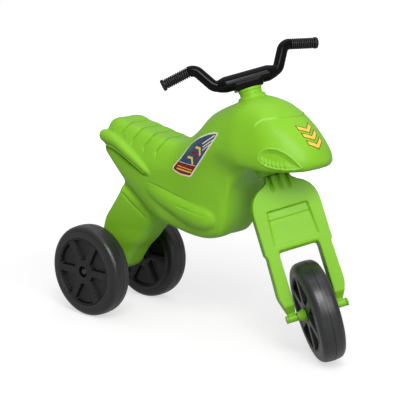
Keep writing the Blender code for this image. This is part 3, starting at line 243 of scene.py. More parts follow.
TAIL_SLANT_HIGH = 0.380
TAIL_SLANT_END = 0.055

# Rear leg, from the rear axle: (z, x at the back, x at the front, half width at the back and front)
LEG = metres(((79, -3.5, 11, 31, 32), (80.5, -8, 20, 36, 34), (85, -11, 28.5, 41, 36),
        (92, -12.5, 37, 44, 37), (105, -11.5, 46, 46, 37), (128, -9, 62.5, 47.5, 37),
        (150, -4.5, 85, 48, 38), (170, 0.5, 101, 48, 38), (190, 7, 118.5, 48, 40), (213, 23, 136, 48, 42),
        (243, 44, 148, 48, 44), (266, 57, 154, 48, 44), (288, 83, 156, 46, 44)))
LEG_STEP = 0.0022
LEG_BACK_CORNER = 0.0045
LEG_FRONT_CORNER = 0.024
LEG_BOSS_RADIUS = 0.0108
LEG_VALLEY = metres(((45, 268.5), (62, 257), (92, 237), (118, 219.5), (136, 207.5), (152, 197)))
LEG_VALLEY_RADII = metres((12.5, 13, 12.5, 10.5, 7, 3))
LEG_VALLEY_OUT = 0.0565
REAR_WASHER = 0.0016
CAP_RADIUS = 0.0074
CAP_HEIGHT = 0.006

# Raised forms on the flanks: (x, half width, z, radius) along each
POD = metres(((98, 46, 279, 3), (112, 49, 273, 8), (138, 52, 263, 14.5), (166, 53.5, 253.5, 18.5),
        (213, 55, 240, 21), (242, 55, 233, 22.5), (268, 53.5, 230, 21), (284, 52, 232, 15),
        (294, 48, 234.5, 6)))
POD_FLATTEN = 0.6
RAIL = metres(((2, 47, 351.5, 7), (5.5, 47.5, 351.5, 10.5), (16, 48, 349.5, 12.5), (45, 52, 342, 10.5),
        (76, 55.5, 327.5, 9), (108, 58, 310.5, 7), (127, 58.5, 299, 5), (137, 57, 292.5, 3)))
RAIL_LIP = metres(((14, 50, 336, 2.2), (24, 52.5, 334, 3.4), (60, 54.5, 324, 3.6), (100, 56.5, 305, 3.4),
        (124, 57, 293, 1.8)))

# Lip of the screen, across the fairing above the nose: (x, z) on the skin, to the middle
LIP = metres(((383.5, 404.5), (384, 409.5), (386.5, 414), (390.5, 417.2), (395.5, 419.8), (403.5, 421.7),
        (413, 422.6), (419.5, 422.8), (424, 422.8)))
LIP_TIP = 0.004


def added(name, data):
    made = bpy.data.objects.new(name, data)
    bpy.context.scene.collection.objects.link(made)
    return made


def aimed(name, data, place, target):
    """An object at a place that looks at a target."""
    made = added(name, data)
    made.location = place
    made.rotation_mode = "QUATERNION"
    made.rotation_quaternion = (target - place).to_track_quat("-Z", "Y")
    return made


def make_camera():
    back = Vector((math.sin(AZIMUTH) * math.cos(ELEVATION), -math.cos(AZIMUTH) * math.cos(ELEVATION),
                   math.sin(ELEVATION)))
    data = bpy.data.cameras.new("camera")
    data.lens = LENS
    data.sensor_width = 36.0
    data.clip_start = 0.05
    data.clip_end = 50.0
    bpy.context.scene.camera = aimed("camera", data, TARGET + back * DISTANCE, TARGET)


@contextmanager
def edited(mesh):
    """A mesh opened for editing, and written back afterwards."""
    bm = bmesh.new()
    bm.from_mesh(mesh)
    yield bm
    bm.to_mesh(mesh)
    bm.free()


class Nodes:
    """Short hand for building the nodes of a material or the world."""

    def __init__(self, owner):
        owner.use_nodes = True
        self.owner = owner
        self.tree = owner.node_tree
        self.shader = self.tree.nodes.get("Principled BSDF")
        self.coords = self.add("ShaderNodeTexCoord").outputs

    def add(self, kind, **settings):
        node = self.tree.nodes.new(kind)
        for key, value in settings.items():
            setattr(node, key, value)
        return node

    def set(self, socket, value):
        if isinstance(value, bpy.types.NodeSocket):
            self.tree.links.new(value, socket)
        else:
            socket.default_value = value

    def put(self, node, **values):
        for key, value in values.items():
            self.set(node.inputs[key.replace("_", " ")], value)

    def noise(self, scale, detail=3.0, rough=0.5, vector=None):
        node = self.add("ShaderNodeTexNoise")
        self.put(node, Scale=scale, Detail=detail, Roughness=rough, Vector=vector or self.coords["Object"])
        return node.outputs["Fac"]

    def ramp(self, value, stops):
        """A value or colour that follows a list of (place, level or colour)."""
        node = self.add("ShaderNodeValToRGB")
        ramp = node.color_ramp
        while len(ramp.elements) < len(stops):
            ramp.elements.new(0.5)
        for element, (place, level) in zip(ramp.elements, stops):
            element.position = place
            element.color = (*level, 1.0) if isinstance(level, tuple) else (level, level, level, 1.0)
        self.set(node.inputs["Fac"], value)
        return node.outputs["Color"]

    def eased(self, value, low, high, least, most):
        """A value that runs softly from least at low to most at high."""
        node = self.add("ShaderNodeMapRange", interpolation_type="SMOOTHSTEP")
        self.put(node, Value=value, From_Min=low, From_Max=high, To_Min=least, To_Max=most)
        return node.outputs["Result"]

    def math(self, operation, first, second=0.0):
        node = self.add("ShaderNodeMath", operation=operation)
        for socket, value in zip(node.inputs, (first, second)):
            self.set(socket, value)
        return node.outputs[0]

    def mix(self, factor, first, second):
        node = self.add("ShaderNodeMix", data_type="RGBA")
        self.put(node, Factor=factor, A=first, B=second)
        return node.outputs["Result"]

    def attribute(self, name, output):
        return self.add("ShaderNodeAttribute", attribute_name=name).outputs[output]

    def bump(self, height, strength, distance):
        """A bump on top of those that the shader has already."""
        node = self.add("ShaderNodeBump")
        self.put(node, Strength=strength, Distance=distance, Height=height)
        normal = self.shader.inputs["Normal"]
        if normal.is_linked:
            self.set(node.inputs["Normal"], normal.links[0].from_socket)
        self.set(normal, node.outputs["Normal"])


def green_plastic():
    """Blow-moulded plastic: soft gloss, faint flow marks, fine scuffs, and paler places that are painted
    highlights.
    """
    made = Nodes(bpy.data.materials.new("glossy_lime_plastic"))
    tint = made.ramp(made.noise(9.0, 2.0), [(0.3, GREEN_DARK), (0.7, GREEN_LIGHT)])
    scuff = made.ramp(made.noise(35.0, 6.0, 0.7), [(0.52, 0.0), (0.72, 1.0)])
    fine = made.ramp(made.noise(180.0, 3.0), [(0.3, 0.36), (0.75, 0.44)])
    # The base colour turns to a paler green where the mesh marks a painted highlight.
    made.put(made.shader, Base_Color=made.mix(made.attribute(PAINTED_HIGHLIGHT, "Fac"), tint, (*GREEN_HIGHLIGHT, 1.0)),
             Roughness=made.mix(scuff, fine, (*GREEN_SCUFF, 1.0)), IOR=1.5,
             Specular_IOR_Level=GREEN_GLOSS)
    made.bump(made.noise(42.0, 2.0), 0.05, 0.0012)
    made.bump(made.noise(420.0, 2.0), 0.03, 0.0003)
    return made.owner


def plain_plastic(name, dark, light, rough, gloss, grain, strength, highlight_colour=None):
    """A plastic or rubber with its own tints, gloss and grain, and if given a paler colour for painted
    highlights.
    """
    made = Nodes(bpy.data.materials.new(name))
    tint = made.ramp(made.noise(14.0, 3.0), [(0.3, dark), (0.7, light)])
    # Where given, a paler colour goes on the painted highlights that the mesh marks.
    if highlight_colour:
        tint = made.mix(made.attribute(PAINTED_HIGHLIGHT, "Fac"), tint, (*highlight_colour, 1.0))
    made.put(made.shader, Base_Color=tint, Specular_IOR_Level=gloss,
             Roughness=made.ramp(made.noise(60.0, 5.0, 0.65), [(0.3, rough[0]), (0.7, rough[1])]))
    made.bump(made.noise(grain, 3.0), strength, 0.0003)
    return made.owner


def turned_plastic(name, dark, light, rough, gloss, paler_from, walls=None):
    """A wheel's material: fine rings about its axle, paler outermost faces and painted shade down its
    walls.
    """
    made = Nodes(bpy.data.materials.new(name))
    split = made.add("ShaderNodeSeparateXYZ")
    made.set(split.inputs[0], made.attribute(AXLE_PLACE, "Vector"))
    x, y, z = split.outputs
    radius = made.math("SQRT", made.math("ADD", made.math("MULTIPLY", x, x), made.math("MULTIPLY", y, y)))
    ring = made.add("ShaderNodeCombineXYZ")
    made.put(ring, X=radius, Y=z, Z=made.math("MULTIPLY", x, RING_DRIFT))
    rings = made.noise(620.0, 4.0, 0.7, ring.outputs[0])
    cloud = made.noise(26.0, 4.0, 0.6)
    # Paler towards the outer radius, in patches of noise.
    outer = made.math("MULTIPLY", made.eased(radius, paler_from, WHEEL_RADIUS, 0.0, 0.5), cloud)
    share = made.math("ADD", outer, made.math("MULTIPLY", rings, 0.55))
    # Painted shade: by depth across the wheel, the pocket walls are darkened while the floors and faces are
    # not.
    if walls:
        depth = made.math("DIVIDE", made.math("ABSOLUTE", z), WHEEL_WIDTH / 2)
        share = made.math("MULTIPLY", made.math("ADD", share, 0.12), made.ramp(depth, walls))
    made.put(made.shader, Base_Color=made.ramp(share, [(0.2, dark), (0.75, light)]),
             Specular_IOR_Level=gloss,
             Roughness=made.ramp(made.mix(0.5, rings, cloud), [(0.3, rough[0]), (0.7, rough[1])]))
    made.bump(rings, 0.30, 0.0004)
    made.bump(made.noise(700.0, 2.0), 0.08, 0.0002)
    return made.owner


def metal(name, colour, rough):
    made = Nodes(bpy.data.materials.new(name))
    dark = tuple(c * 0.92 for c in colour)
    made.put(made.shader, Metallic=1.0,
             Base_Color=made.ramp(made.noise(40.0), [(0.3, dark), (0.7, colour)]),
             Roughness=made.ramp(made.noise(300.0), [(0.3, rough * 0.8), (0.7, rough * 1.25)]))
    return made.owner


def sticker_film(colour, dark, light, gloss=0.35):
    return plain_plastic("sticker_" + colour, dark, light, (0.22, 0.34), gloss, 200.0, 0.03)


GREEN_DARK = (0.200, 0.478, 0.019)
GREEN_LIGHT = (0.226, 0.526, 0.027)
# Below: the paler green of the painted highlights on the lip's bead and the intake's rim and ribs.
GREEN_HIGHLIGHT = (0.46, 0.80, 0.16)
GREEN_SCUFF = (0.47, 0.47, 0.47)
GREEN_GLOSS = 0.20
# Name of the mesh attribute that marks where a painted highlight goes.
PAINTED_HIGHLIGHT = "painted_highlight"
RING_DRIFT = 0.03
AXLE_PLACE = "axle_place"
# Painted shade in the rim, by depth across the wheel: full colour on the pocket floors and outer faces,
# dark down the pocket walls and elsewhere.
POCKET_SHADES = ((0.60, 0.0), (0.642, 1.0), (0.675, 0.0), (0.88, 0.0), (0.93, 1.0))
CREAM = sticker_film("cream", (0.72, 0.66, 0.48), (0.84, 0.78, 0.60))
BLUE = sticker_film("blue", (0.018, 0.050, 0.110), (0.035, 0.078, 0.150), 0.22)
RED = sticker_film("red", (0.160, 0.006, 0.006), (0.230, 0.010, 0.010), 0.22)
YELLOW = sticker_film("yellow", (0.78, 0.48, 0.055), (0.88, 0.60, 0.100))
MAROON = sticker_film("maroon", (0.060, 0.018, 0.006), (0.100, 0.030, 0.010))
# The paler black of the painted highlights on the crowns of the grips' ribs.
GRIP_HIGHLIGHT = (0.020, 0.020, 0.021)
LOOKS = {"lime_green_plastic": green_plastic()}
for slot, make, values in (
        ("gloss_black_plastic", plain_plastic, (0.002, 0.004, (0.09, 0.15), 0.09, 300.0, 0.02)),
        ("black_grip_rubber", plain_plastic, (0.002, 0.004, (0.13, 0.22), 0.34, 700.0, 0.04, GRIP_HIGHLIGHT)),
        ("dark_grey_tyre", turned_plastic, (0.007, (0.032, 0.033, 0.034), (0.26, 0.40), 0.45, 0.084)),
        ("dark_grey_rim", turned_plastic,
         (0.004, (0.028, 0.028, 0.029), (0.28, 0.40), 0.26, 0.0893, POCKET_SHADES)),
        ("black_nylon", plain_plastic, (0.006, 0.010, (0.40, 0.52), 0.20, 500.0, 0.10)),
        ("bare_steel", metal, ((0.11, 0.11, 0.115), 0.40)),
        ("bright_cap", metal, ((0.07, 0.07, 0.072), 0.18))):
    LOOKS[slot] = make(slot, *values)


def dress_nodes():
    """Gives each carried-over CAD node the material of its slot."""
    for part in frame["record"]["subparts"]:
        materials = frame["nodes"][part["node"]].data.materials
        materials.clear()
        materials.append(LOOKS[part["material_slot"]])


def make_floor():
    """A pale floor that fades to plain white around the toy and keeps its shadow."""
    mesh = bpy.data.meshes.new("floor")
    with edited(mesh) as bm:
        bmesh.ops.create_circle(bm, cap_ends=True, segments=96, radius=FLOOR_RADIUS)
    added("floor", mesh)
    pale = Nodes(bpy.data.materials.new("pale_floor"))
    path = pale.add("ShaderNodeLightPath").outputs
    shine = pale.math("MULTIPLY", path["Is Glossy Ray"], FLOOR_SHINE)
    seen = pale.math("MAXIMUM", path["Is Camera Ray"], shine)
    length = pale.add("ShaderNodeVectorMath", operation="LENGTH")
    pale.set(length.inputs[0], pale.coords["Object"])
    far = pale.eased(length.outputs["Value"], FLOOR_NEAR, FLOOR_FAR, FLOOR_GLOW, 1.0)
    pale.put(pale.shader, Base_Color=(FLOOR_LEVEL, FLOOR_LEVEL, FLOOR_LEVEL, 1.0), Roughness=0.9,
             Specular_IOR_Level=0.1, Emission_Color=WHITE,
             Emission_Strength=pale.math("MULTIPLY", seen, far))
    mesh.materials.append(pale.owner)


def make_room():
    """A white room that the object sees as a soft fall of light from above."""
    world = bpy.data.worlds.new("studio")
    bpy.context.scene.world = world
    room = Nodes(world)
    split = room.add("ShaderNodeSeparateXYZ")
    room.set(split.inputs[0], room.coords["Generated"])
    light = room.tree.nodes["Background"]
    room.put(light, Color=WHITE, Strength=room.eased(split.outputs["Z"], 0.0, 1.0, ROOM_LOW, ROOM_HIGH))
    back = room.add("ShaderNodeBackground")
    room.put(back, Color=WHITE, Strength=1.0)
    path = room.add("ShaderNodeLightPath").outputs
    shown = room.math("MAXIMUM", room.math("MAXIMUM", path["Is Camera Ray"], path["Is Transmission Ray"]),
                      room.math("MULTIPLY", path["Is Glossy Ray"], ROOM_SHINE))
    mix = room.add("ShaderNodeMixShader")
    for socket, value in zip(mix.inputs, (shown, light.outputs[0], back.outputs[0])):
        room.set(socket, value)
    room.set(room.tree.nodes["World Output"].inputs["Surface"], mix.outputs[0])


def make_lamps():
    for name, place, size, power in LAMPS:
        lamp = bpy.data.lights.new(name, "AREA")
        lamp.shape = "SQUARE"
        lamp.size = size
        lamp.energy = power
        aimed(name, lamp, Vector(place), LAMP_TARGET)


def ease(value, low, high):
    """0 below low, 1 above high and a straight run between them."""
    return np.clip((value - low) / (high - low), 0.0, 1.0)


def smooth(value, low, high):
    share = ease(value, low, high)
    return share * share * (3 - 2 * share)


def guide(points, at):
    """The values of a guide curve at each place, smooth and never past its own points."""
    table = np.array(points, float)
    place = table[:, 0]
    value = table[:, 1:]
    step = np.diff(place)[:, None]
    rise = np.diff(value, axis=0) / step
    slope = np.zeros_like(value)
    slope[0] = rise[0]
    slope[-1] = rise[-1]
    first = 2 * step[1:] + step[:-1]
    second = step[1:] + 2 * step[:-1]
    same = rise[:-1] * rise[1:] > 0
    safe = np.where(same, first / np.where(same, rise[:-1], 1) + second / np.where(same, rise[1:], 1), 1)
    slope[1:-1] = np.where(same, (first + second) / safe, 0)
    at = np.clip(np.atleast_1d(at), place[0], place[-1])
    i = np.clip(np.searchsorted(place, at, side="right") - 1, 0, len(table) - 2)
    h = step[i]
    t = (at - place[i])[:, None] / h
    return ((2 * t**3 - 3 * t**2 + 1) * value[i] + (t**3 - 2 * t**2 + t) * h * slope[i]
            + (3 * t**2 - 2 * t**3) * value[i + 1] + (t**3 - t**2) * h * slope[i + 1])


def blend(a, b, low, high, at):
    """The straight run from a at low to b at high."""
    return a * (high - at) / (high - low) + b * (at - low) / (high - low)


def closed_curve(points, samples):
    """Closed centripetal curves through points; each point is an array with a row for each curve."""
    count = len(points)
    ring = []
    for i in range(count):
        p0, p1, p2, p3 = (points[(i + k) % count] for k in (-1, 0, 1, 2))
        t1 = np.maximum(np.linalg.norm(p1 - p0, axis=1, keepdims=True), 1e-6) ** 0.5
        t2 = t1 + np.maximum(np.linalg.norm(p2 - p1, axis=1, keepdims=True), 1e-6) ** 0.5
        t3 = t2 + np.maximum(np.linalg.norm(p3 - p2, axis=1, keepdims=True), 1e-6) ** 0.5
        for k in range(samples):
            t = t1 + (t2 - t1) * k / samples
            a1 = blend(p0, p1, 0, t1, t)
            a2 = blend(p1, p2, t1, t2, t)
            a3 = blend(p2, p3, t2, t3, t)
            ring.append(blend(blend(a1, a2, 0, t2, t), blend(a2, a3, t1, t3, t), t1, t2, t))
    return np.array(ring)


def hump(distance, half):
    """1 on a line, falling in a soft bell to 0 at half."""
    return np.where(distance < half, (1 + np.cos(math.pi * distance / half)) / 2, 0)


def turned(x, y, angle):
    return x * math.cos(angle) - y * math.sin(angle), x * math.sin(angle) + y * math.cos(angle)


def read(items, key, width=3, kind=float):
    """A value of all items of a mesh, as an array with a row for each."""
    values = np.empty(len(items) * width, kind)
    items.foreach_get(key, values)
    return values.reshape(-1, width)


def write(mesh, points):
    mesh.vertices.foreach_set("co", points.ravel())
    mesh.update()


def mesh_of(name, points, faces, place=None):
    """A mesh with outward normals from points and faces, moved by a matrix."""
    mesh = bpy.data.meshes.new(name)
    mesh.from_pydata([tuple(p) for p in points], [], faces)
    with edited(mesh) as bm:
        bmesh.ops.remove_doubles(bm, verts=bm.verts, dist=1e-7)
        bmesh.ops.recalc_face_normals(bm, faces=bm.faces)
    if place is not None:
        mesh.transform(place)
    return mesh


def grid_faces(rows, count, closed=False):
    """The faces between rows of points; each row is a ring, and the last may join the first."""
    faces = []
    for r in range(rows if closed else rows - 1):
        after = (r + 1) % rows
        for i in range(count):
            j = (i + 1) % count
            faces.append((r * count + i, r * count + j, after * count + j, after * count + i))
    return faces


def loft(name, rings, place=None):
    """A closed skin through rings of equally many points."""
    count = len(rings[0])
    points = [p for ring in rings for p in ring]
    ends = [tuple(range(count)), tuple(range(len(points) - count, len(points)))]
    return mesh_of(name, points, grid_faces(len(rings), count) + ends, place)


def rounded(profile, radius, steps=4, closed=False):
    """A profile with its corners rounded, where they turn enough and have the room."""
    points = [Vector(p) for p in profile]
    made = []
    for i, corner in enumerate(points):
        if not closed and i in (0, len(points) - 1):
            made.append(corner)
            continue
        back = points[i - 1] - corner
        ahead = points[(i + 1) % len(points)] - corner
        turn = math.pi - back.angle(ahead)
        if turn < math.radians(12):
            made.append(corner)
            continue
        run = min(radius * math.tan(turn / 2), 0.45 * min(back.length, ahead.length))
        start = corner + back.normalized() * run
        finish = corner + ahead.normalized() * run
        for k in range(steps + 1):
            t = k / steps
            made.append((1 - t) ** 2 * start + 2 * t * (1 - t) * corner + t**2 * finish)
    return [tuple(p) for p in made]


def lathe(name, profile, steps, place=None, closed=False):
    """A turned solid about Z from a profile of (radius, z)."""
    angles = np.linspace(0, 2 * math.pi, steps, endpoint=False)
    points = [(r * math.cos(a), r * math.sin(a), z) for r, z in profile for a in angles]
    mesh = mesh_of(name, points, grid_faces(len(profile), steps, closed), place)
    with edited(mesh) as bm:
        bmesh.ops.dissolve_degenerate(bm, dist=1e-7, edges=bm.edges)
    return mesh


def prism(name, outline, low, high, place=None):
    """A flat outline in (x, y), given its thickness along Z."""
    return loft(name, [[(x, y, z) for x, y in outline] for z in (low, high)], place)


def box(name, size, centre, place=None):
    half = [s / 2 for s in size]
    corners = ((-1, -1), (1, -1), (1, 1), (-1, 1))
    outline = [(centre[0] + a * half[0], centre[1] + b * half[1]) for a, b in corners]
    return prism(name, outline, centre[2] - half[2], centre[2] + half[2], place)


def rod(name, radius, low, high, place=None, steps=64):
    return lathe(name, [(0.0, low), (radius, low), (radius, high), (0.0, high)], steps, place)


def tube(name, path, radii, steps, place=None):
    """A round closed tube through points, with its own radius at each."""
    path = [Vector(p) for p in path]
    rings = []
    normal = None
    for i, point in enumerate(path):
        way = (path[min(i + 1, len(path) - 1)] - path[max(i - 1, 0)]).normalized()
        if normal is None:
            normal = way.orthogonal().normalized()
        normal = (normal - way * normal.dot(way)).normalized()
        side = way.cross(normal)
        angles = [2 * math.pi * k / steps for k in range(steps)]
        rings.append([tuple(point + (normal * math.cos(a) + side * math.sin(a)) * float(radii[i]))
                      for a in angles])
    return loft(name, rings, place)


SCRATCH = bpy.data.collections.new("scratch")
bpy.context.scene.collection.children.link(SCRATCH)


def scratch(name, mesh):
    """An object for the time of one operation."""
    made = bpy.data.objects.new(name, mesh)
    SCRATCH.objects.link(made)
    return made


def evaluated(source, name):
    """The mesh of an object as its modifiers leave it; the object itself is removed."""
    bpy.context.view_layer.update()
    graph = bpy.context.evaluated_depsgraph_get()
    mesh = bpy.data.meshes.new_from_object(source.evaluated_get(graph))
    mesh.name = name
    bpy.data.objects.remove(source)
    return mesh


def carved(base, steps, name):
    """A mesh after steps of (operation, other mesh)."""
    source = scratch(name + "_source", base)
    tools = []
    for operation, mesh in steps:
        tool = scratch(mesh.name + "_tool", mesh)
        tool.hide_render = True
        tools.append(tool)
        step = source.modifiers.new(mesh.name, "BOOLEAN")
        step.operation = operation
        step.solver = "MANIFOLD"
        step.object = tool
    mesh = evaluated(source, name)
    for tool in tools:
        bpy.data.objects.remove(tool)
    return mesh


def melted(mesh, voxel, rounds, name):
    """One closed skin over a solid, with its edges and joins softened."""
    source = scratch(name + "_source", mesh)
    skin = source.modifiers.new("skin", "REMESH")
    skin.mode = "VOXEL"
    skin.voxel_size = voxel
    mesh = evaluated(source, name)
    points = read(mesh.vertices, "co")
    start, end = read(mesh.edges, "vertices", 2, int).T
    size = len(points)
    count = np.bincount(start, minlength=size) + np.bincount(end, minlength=size)
    for _ in range(rounds):
        total = [np.bincount(start, points[end, axis], size) + np.bincount(end, points[start, axis], size)
                 for axis in range(3)]
        points += 0.5 * (np.array(total).T / count[:, None] - points)
    write(mesh, points)
    return mesh


def paint_highlight(mesh, amount):
    """Notes how much painted highlight each point of a mesh gets, for its material."""
    mesh.attributes.new(PAINTED_HIGHLIGHT, "FLOAT", "POINT").data.foreach_set("value", np.clip(amount, 0, 1))
    return mesh


def piece(mesh, name, body, node, slot, angle=40, place=None, look=None):
    """Puts a mesh into the scene, rides it on its body and lets it stand for a CAD node."""
    if place is not None:
        mesh.transform(place)
    made = added(name, mesh)
    mesh.materials.clear()
    mesh.materials.append(look or LOOKS[slot])
    mesh.shade_smooth()
    if angle:
        mesh.set_sharp_from_angle(angle=math.radians(angle))
    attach(made, body)
    if node:
        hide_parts(node)


# The body: one blow-moulded skin over the same guide curves, with soft joins

def axle(base, place, turn):
    """A frame at a place with Z along an axle, to the left for -1 and to the right for 1."""
    return base @ Matrix.Translation(place) @ Matrix.Rotation(turn * math.pi / 2, 4, "X")


def end_scale(x):
    tail = np.clip((TAIL_X + TAIL_ROUND - x) / TAIL_ROUND, 0, 1)
    nose = np.clip((x - NOSE_X + NOSE_ROUND) / NOSE_ROUND, 0, 1)
    return np.sqrt(np.maximum(0, 1 - tail**2)) * np.sqrt(np.maximum(0, 1 - nose**2))


def slide(x, y, z):
    """How far a point of the section at x moves along: the seat's bowed grooves and the raked tail."""
    in_seat = ease(x, SEAT_START, SEAT_FULL) * (1 - ease(x, SEAT_FADE, SEAT_END))
    drop = guide(BODY_TOP, x.ravel())[:, 1].reshape(x.shape) - z
    bow = SEAT_BOW * np.maximum(0, 1 - (y / SEAT_BOW_HALF) ** 2)
    fade = 1 - ease(drop, SEAT_LEAN_DROP, SEAT_LEAN_FADE)
    lean = SEAT_LEAN * np.clip(drop, 0, SEAT_LEAN_DROP) * fade
    in_tail = 1 - ease(x, TAIL_X + TAIL_ROUND, TAIL_SLANT_END)
    slant = TAIL_SLANT * in_tail * ease(z, TAIL_SLANT_LOW, TAIL_SLANT_HIGH)
    return slant - in_seat * (bow + lean)


def sections(x, samples):
    """The hull's closed sections at places along the bike, and the height of each one's middle."""
    half = [guide(points, x) for points in BODY_CURVES]
    ring = closed_curve(half + [points * (-1, 1) for points in half[-2:0:-1]], samples)
    return ring, (half[0][:, 1] + half[-1][:, 1]) / 2


def body_hull():
    angles = np.radians(np.linspace(8, 90, 12))
    tail = TAIL_X + TAIL_ROUND * (1 - np.cos(angles))
    nose = NOSE_X - NOSE_ROUND * (1 - np.cos(angles[::-1]))
    run = np.arange(tail[-1] + HULL_STEP, nose[0] - HULL_STEP / 2, HULL_STEP)
    x = np.concatenate([tail, run, nose])
    ring, heights = sections(x, HULL_SAMPLES)
    middle = np.stack([np.zeros_like(x), heights], 1)
    ring = middle + (ring - middle) * end_scale(x)[None, :, None]
    y = ring[:, :, 0]
    z = ring[:, :, 1]
    along = np.broadcast_to(x, y.shape)
    grid = np.stack([along + slide(along, y, z), y, z], 2).transpose(1, 0, 2)
    return loft("body_hull", grid, BIKE)


def leg_rings():
    """Level sections of the rear leg: a tapered box with a large radius at its front corners."""
    levels = np.arange(LEG[0][0], LEG[-1][0] + 1e-6, LEG_STEP)
    for z, (back, front, half_back, half_front) in zip(levels, guide(LEG, levels)):
        front_corner = min(LEG_FRONT_CORNER, (front - back) * 0.45, half_front * 0.8)
        back_corner = min(LEG_BACK_CORNER, (front - back) * 0.2)
        side = []
        for radius, x, half, start in ((front_corner, front - front_corner, half_front, 0.0),
                                       (back_corner, back + back_corner, half_back, 90.0)):
            for k in range(13):
                angle = math.radians(start + 7.5 * k)
                side.append((x + radius * math.cos(angle), half - radius + radius * math.sin(angle)))
        yield [(x, y, z) for x, y in side + [(x, -y) for x, y in reversed(side)]]


def ridge(name, route, flatten, side, steps=40):
    """A tapered raised form along one flank, flattened across it."""
    x = np.linspace(route[0][0], route[-1][0], 60)
    y, z, r = guide(route, x).T
    rings = []
    for i in range(len(x)):
        before = max(i - 1, 0)
        after = min(i + 1, len(x) - 1)
        way = Vector((x[after] - x[before], z[after] - z[before])).normalized()
        ring = []
        for a in np.linspace(0, 2 * math.pi, steps, endpoint=False):
            px = x[i] - way.y * r[i] * math.cos(a)
            pz = z[i] + way.x * r[i] * math.cos(a)
            offset = float(np.interp(px, x, y))
            ring.append((px, side * offset + r[i] * math.sin(a) * flatten, pz))
        rings.append(ring)
    return loft(name, rings, BIKE)


def near_line(points, line):
    """The distance of each point to a polyline, the nearest place on it and its share of the length."""
    line = np.array(line, float)
    best = np.full(len(points), 1e9)
    place = np.zeros_like(points)
    share = np.zeros(len(points))
    lengths = np.linalg.norm(np.diff(line, axis=0), axis=1)
    starts = np.concatenate([[0], np.cumsum(lengths)])
    for i in range(len(line) - 1):
        way = line[i + 1] - line[i]
        t = np.clip((points - line[i]) @ way / (way @ way), 0, 1)
        q = line[i] + t[:, None] * way
        d = np.linalg.norm(points - q, axis=1)
        closer = d < best
        best[closer] = d[closer]
        place[closer] = q[closer]
        share[closer] = (starts[i] + t[closer] * lengths[i]) / starts[-1]
    return best, place, share


def inside(points, outline):
    """Which 2-D points lie within a closed outline."""
    made = np.zeros(len(points), bool)
    px, pz = points.T
    for (x0, z0), (x1, z1) in zip(outline, outline[1:] + outline[:1]):
        crosses = (z0 > pz) != (z1 > pz)
        at = x0 + (pz - z0) * (x1 - x0) / ((z1 - z0) or 1e-9)
        made ^= crosses & (px < at)
    return made


# Fine lines on the flanks, as (x, z)
RAIL_FOLDS = metres((((15, 340.5), (45, 334.5), (76, 321.5), (108, 305.5), (128, 294)), ((8, 333),
        (30, 328.5), (60, 318.5), (100, 299.8), (128, 286))))
RAIL_BETWEEN = [(a[0], (a[1] + b[1]) / 2) for a, b in zip(*RAIL_FOLDS)]
LEG_FOLD = metres(((34, 262), (50, 247.5), (72, 229), (100, 209), (118, 197)))
POD_FOLD = metres(((200, 247), (224, 243.7), (245, 240), (270, 236.5), (283, 234.5)))
POD_CREASE = metres(((118, 279.5), (142, 276.5), (171, 270.8), (200, 264), (218.5, 260), (244.5, 255)))
CHEVRONS = metres((((30, 368.5), (36.5, 360), (33, 354)), ((62, 361), (68.5, 353), (64, 347))))

# Each line with its half width, depth or negative rise, share that fades at its ends, and finer reach
FOLDS = ((RAIL_FOLDS[0], 0.0022, 0.0017, 0.08, 0.005), (RAIL_FOLDS[1], 0.0036, 0.0042, 0.08, 0.005),
         (RAIL_BETWEEN, 0.0026, -0.0018, 0.08, 0), (LEG_FOLD, 0.0026, 0.0020, 0.20, 0),
         (POD_FOLD, 0.0034, 0.0008, 0.20, 0.005), (POD_CREASE, 0.0028, 0.0012, 0.25, 0.005),
         (CHEVRONS[0], 0.0021, -0.0007, 0.10, 0.004), (CHEVRONS[1], 0.0021, -0.0007, 0.10, 0.004))
GROOVE_HALF = 0.0025
GROOVE_DEPTH = 0.0041
GROOVE_END = (0.12, 0.62)
PILLOW = 0.0009
FLANK_TURN = (0.25, 0.5)
HULL_SAMPLES = 9
HULL_STEP = 0.002
LIP_SAMPLES = 6
SKIRT_INNER = 0.0262
SKIRT_OUTER = 0.0300
BODY_VOXEL = 0.002
BODY_ROUNDS = 5
EYE = metres(((400, 360), (402, 366), (408, 371.6), (417, 375), (431.2, 374.7), (443.5, 370),
        (455.7, 362), (463.8, 353.5), (469, 346), (461.3, 342.8), (447, 341.8), (431.6, 342.5),
        (417.6, 345.5), (406.8, 350.2), (401.3, 355.5)))
EYE_FLOOR = metres(((400, 358), (406.8, 350.2), (417.6, 345.5), (431.6, 342.5), (447, 341.8), (470, 344)))
EYE_RING = (*EYE, EYE[0])
EYE_DEPTH = 0.0040
EYE_FOOT = 0.45
EYE_FOOT_RISE = (0.002, 0.014)
EYE_BACK = 0.35
EYE_BACK_RUN = (0.400, 0.420)
EYE_WALL = 0.0085
EYE_RIM = 0.0017
EYE_RIM_HALF = 0.0027
# Strengths of the painted highlights on the intake's rim and on the tops of its ribs.
EYE_RIM_HIGHLIGHT = 0.22
EYE_RIB_HIGHLIGHT = 0.40
EYE_RIBS = 7
EYE_RIB_START = 0.4075
EYE_RIB_PITCH = 0.0066
EYE_RIB_HALF = 0.0024
EYE_RIB_HEIGHT = 0.0032
EYE_RIB_TOP = (0.0065, 0.0125)
LIP_BEAD = 0.0017
LIP_BEAD_HALF = 0.0018
LIP_STEP = 0.0018
LIP_REACH = 0.0080
LIP_EDGE = (-0.0012, 0.0012)
# Strength of the painted highlight along the lip's bead.
LIP_HIGHLIGHT = 0.60
LIP_HEART = (0.452, 0.0, 0.385)
LIP_LOW = 0.395
LIP_BACK = 0.375
# Shares of the lip's length: where it has started, and where its bead turns into a step
LIP_START = 0.12
LIP_TURN = (0.40, 0.60)

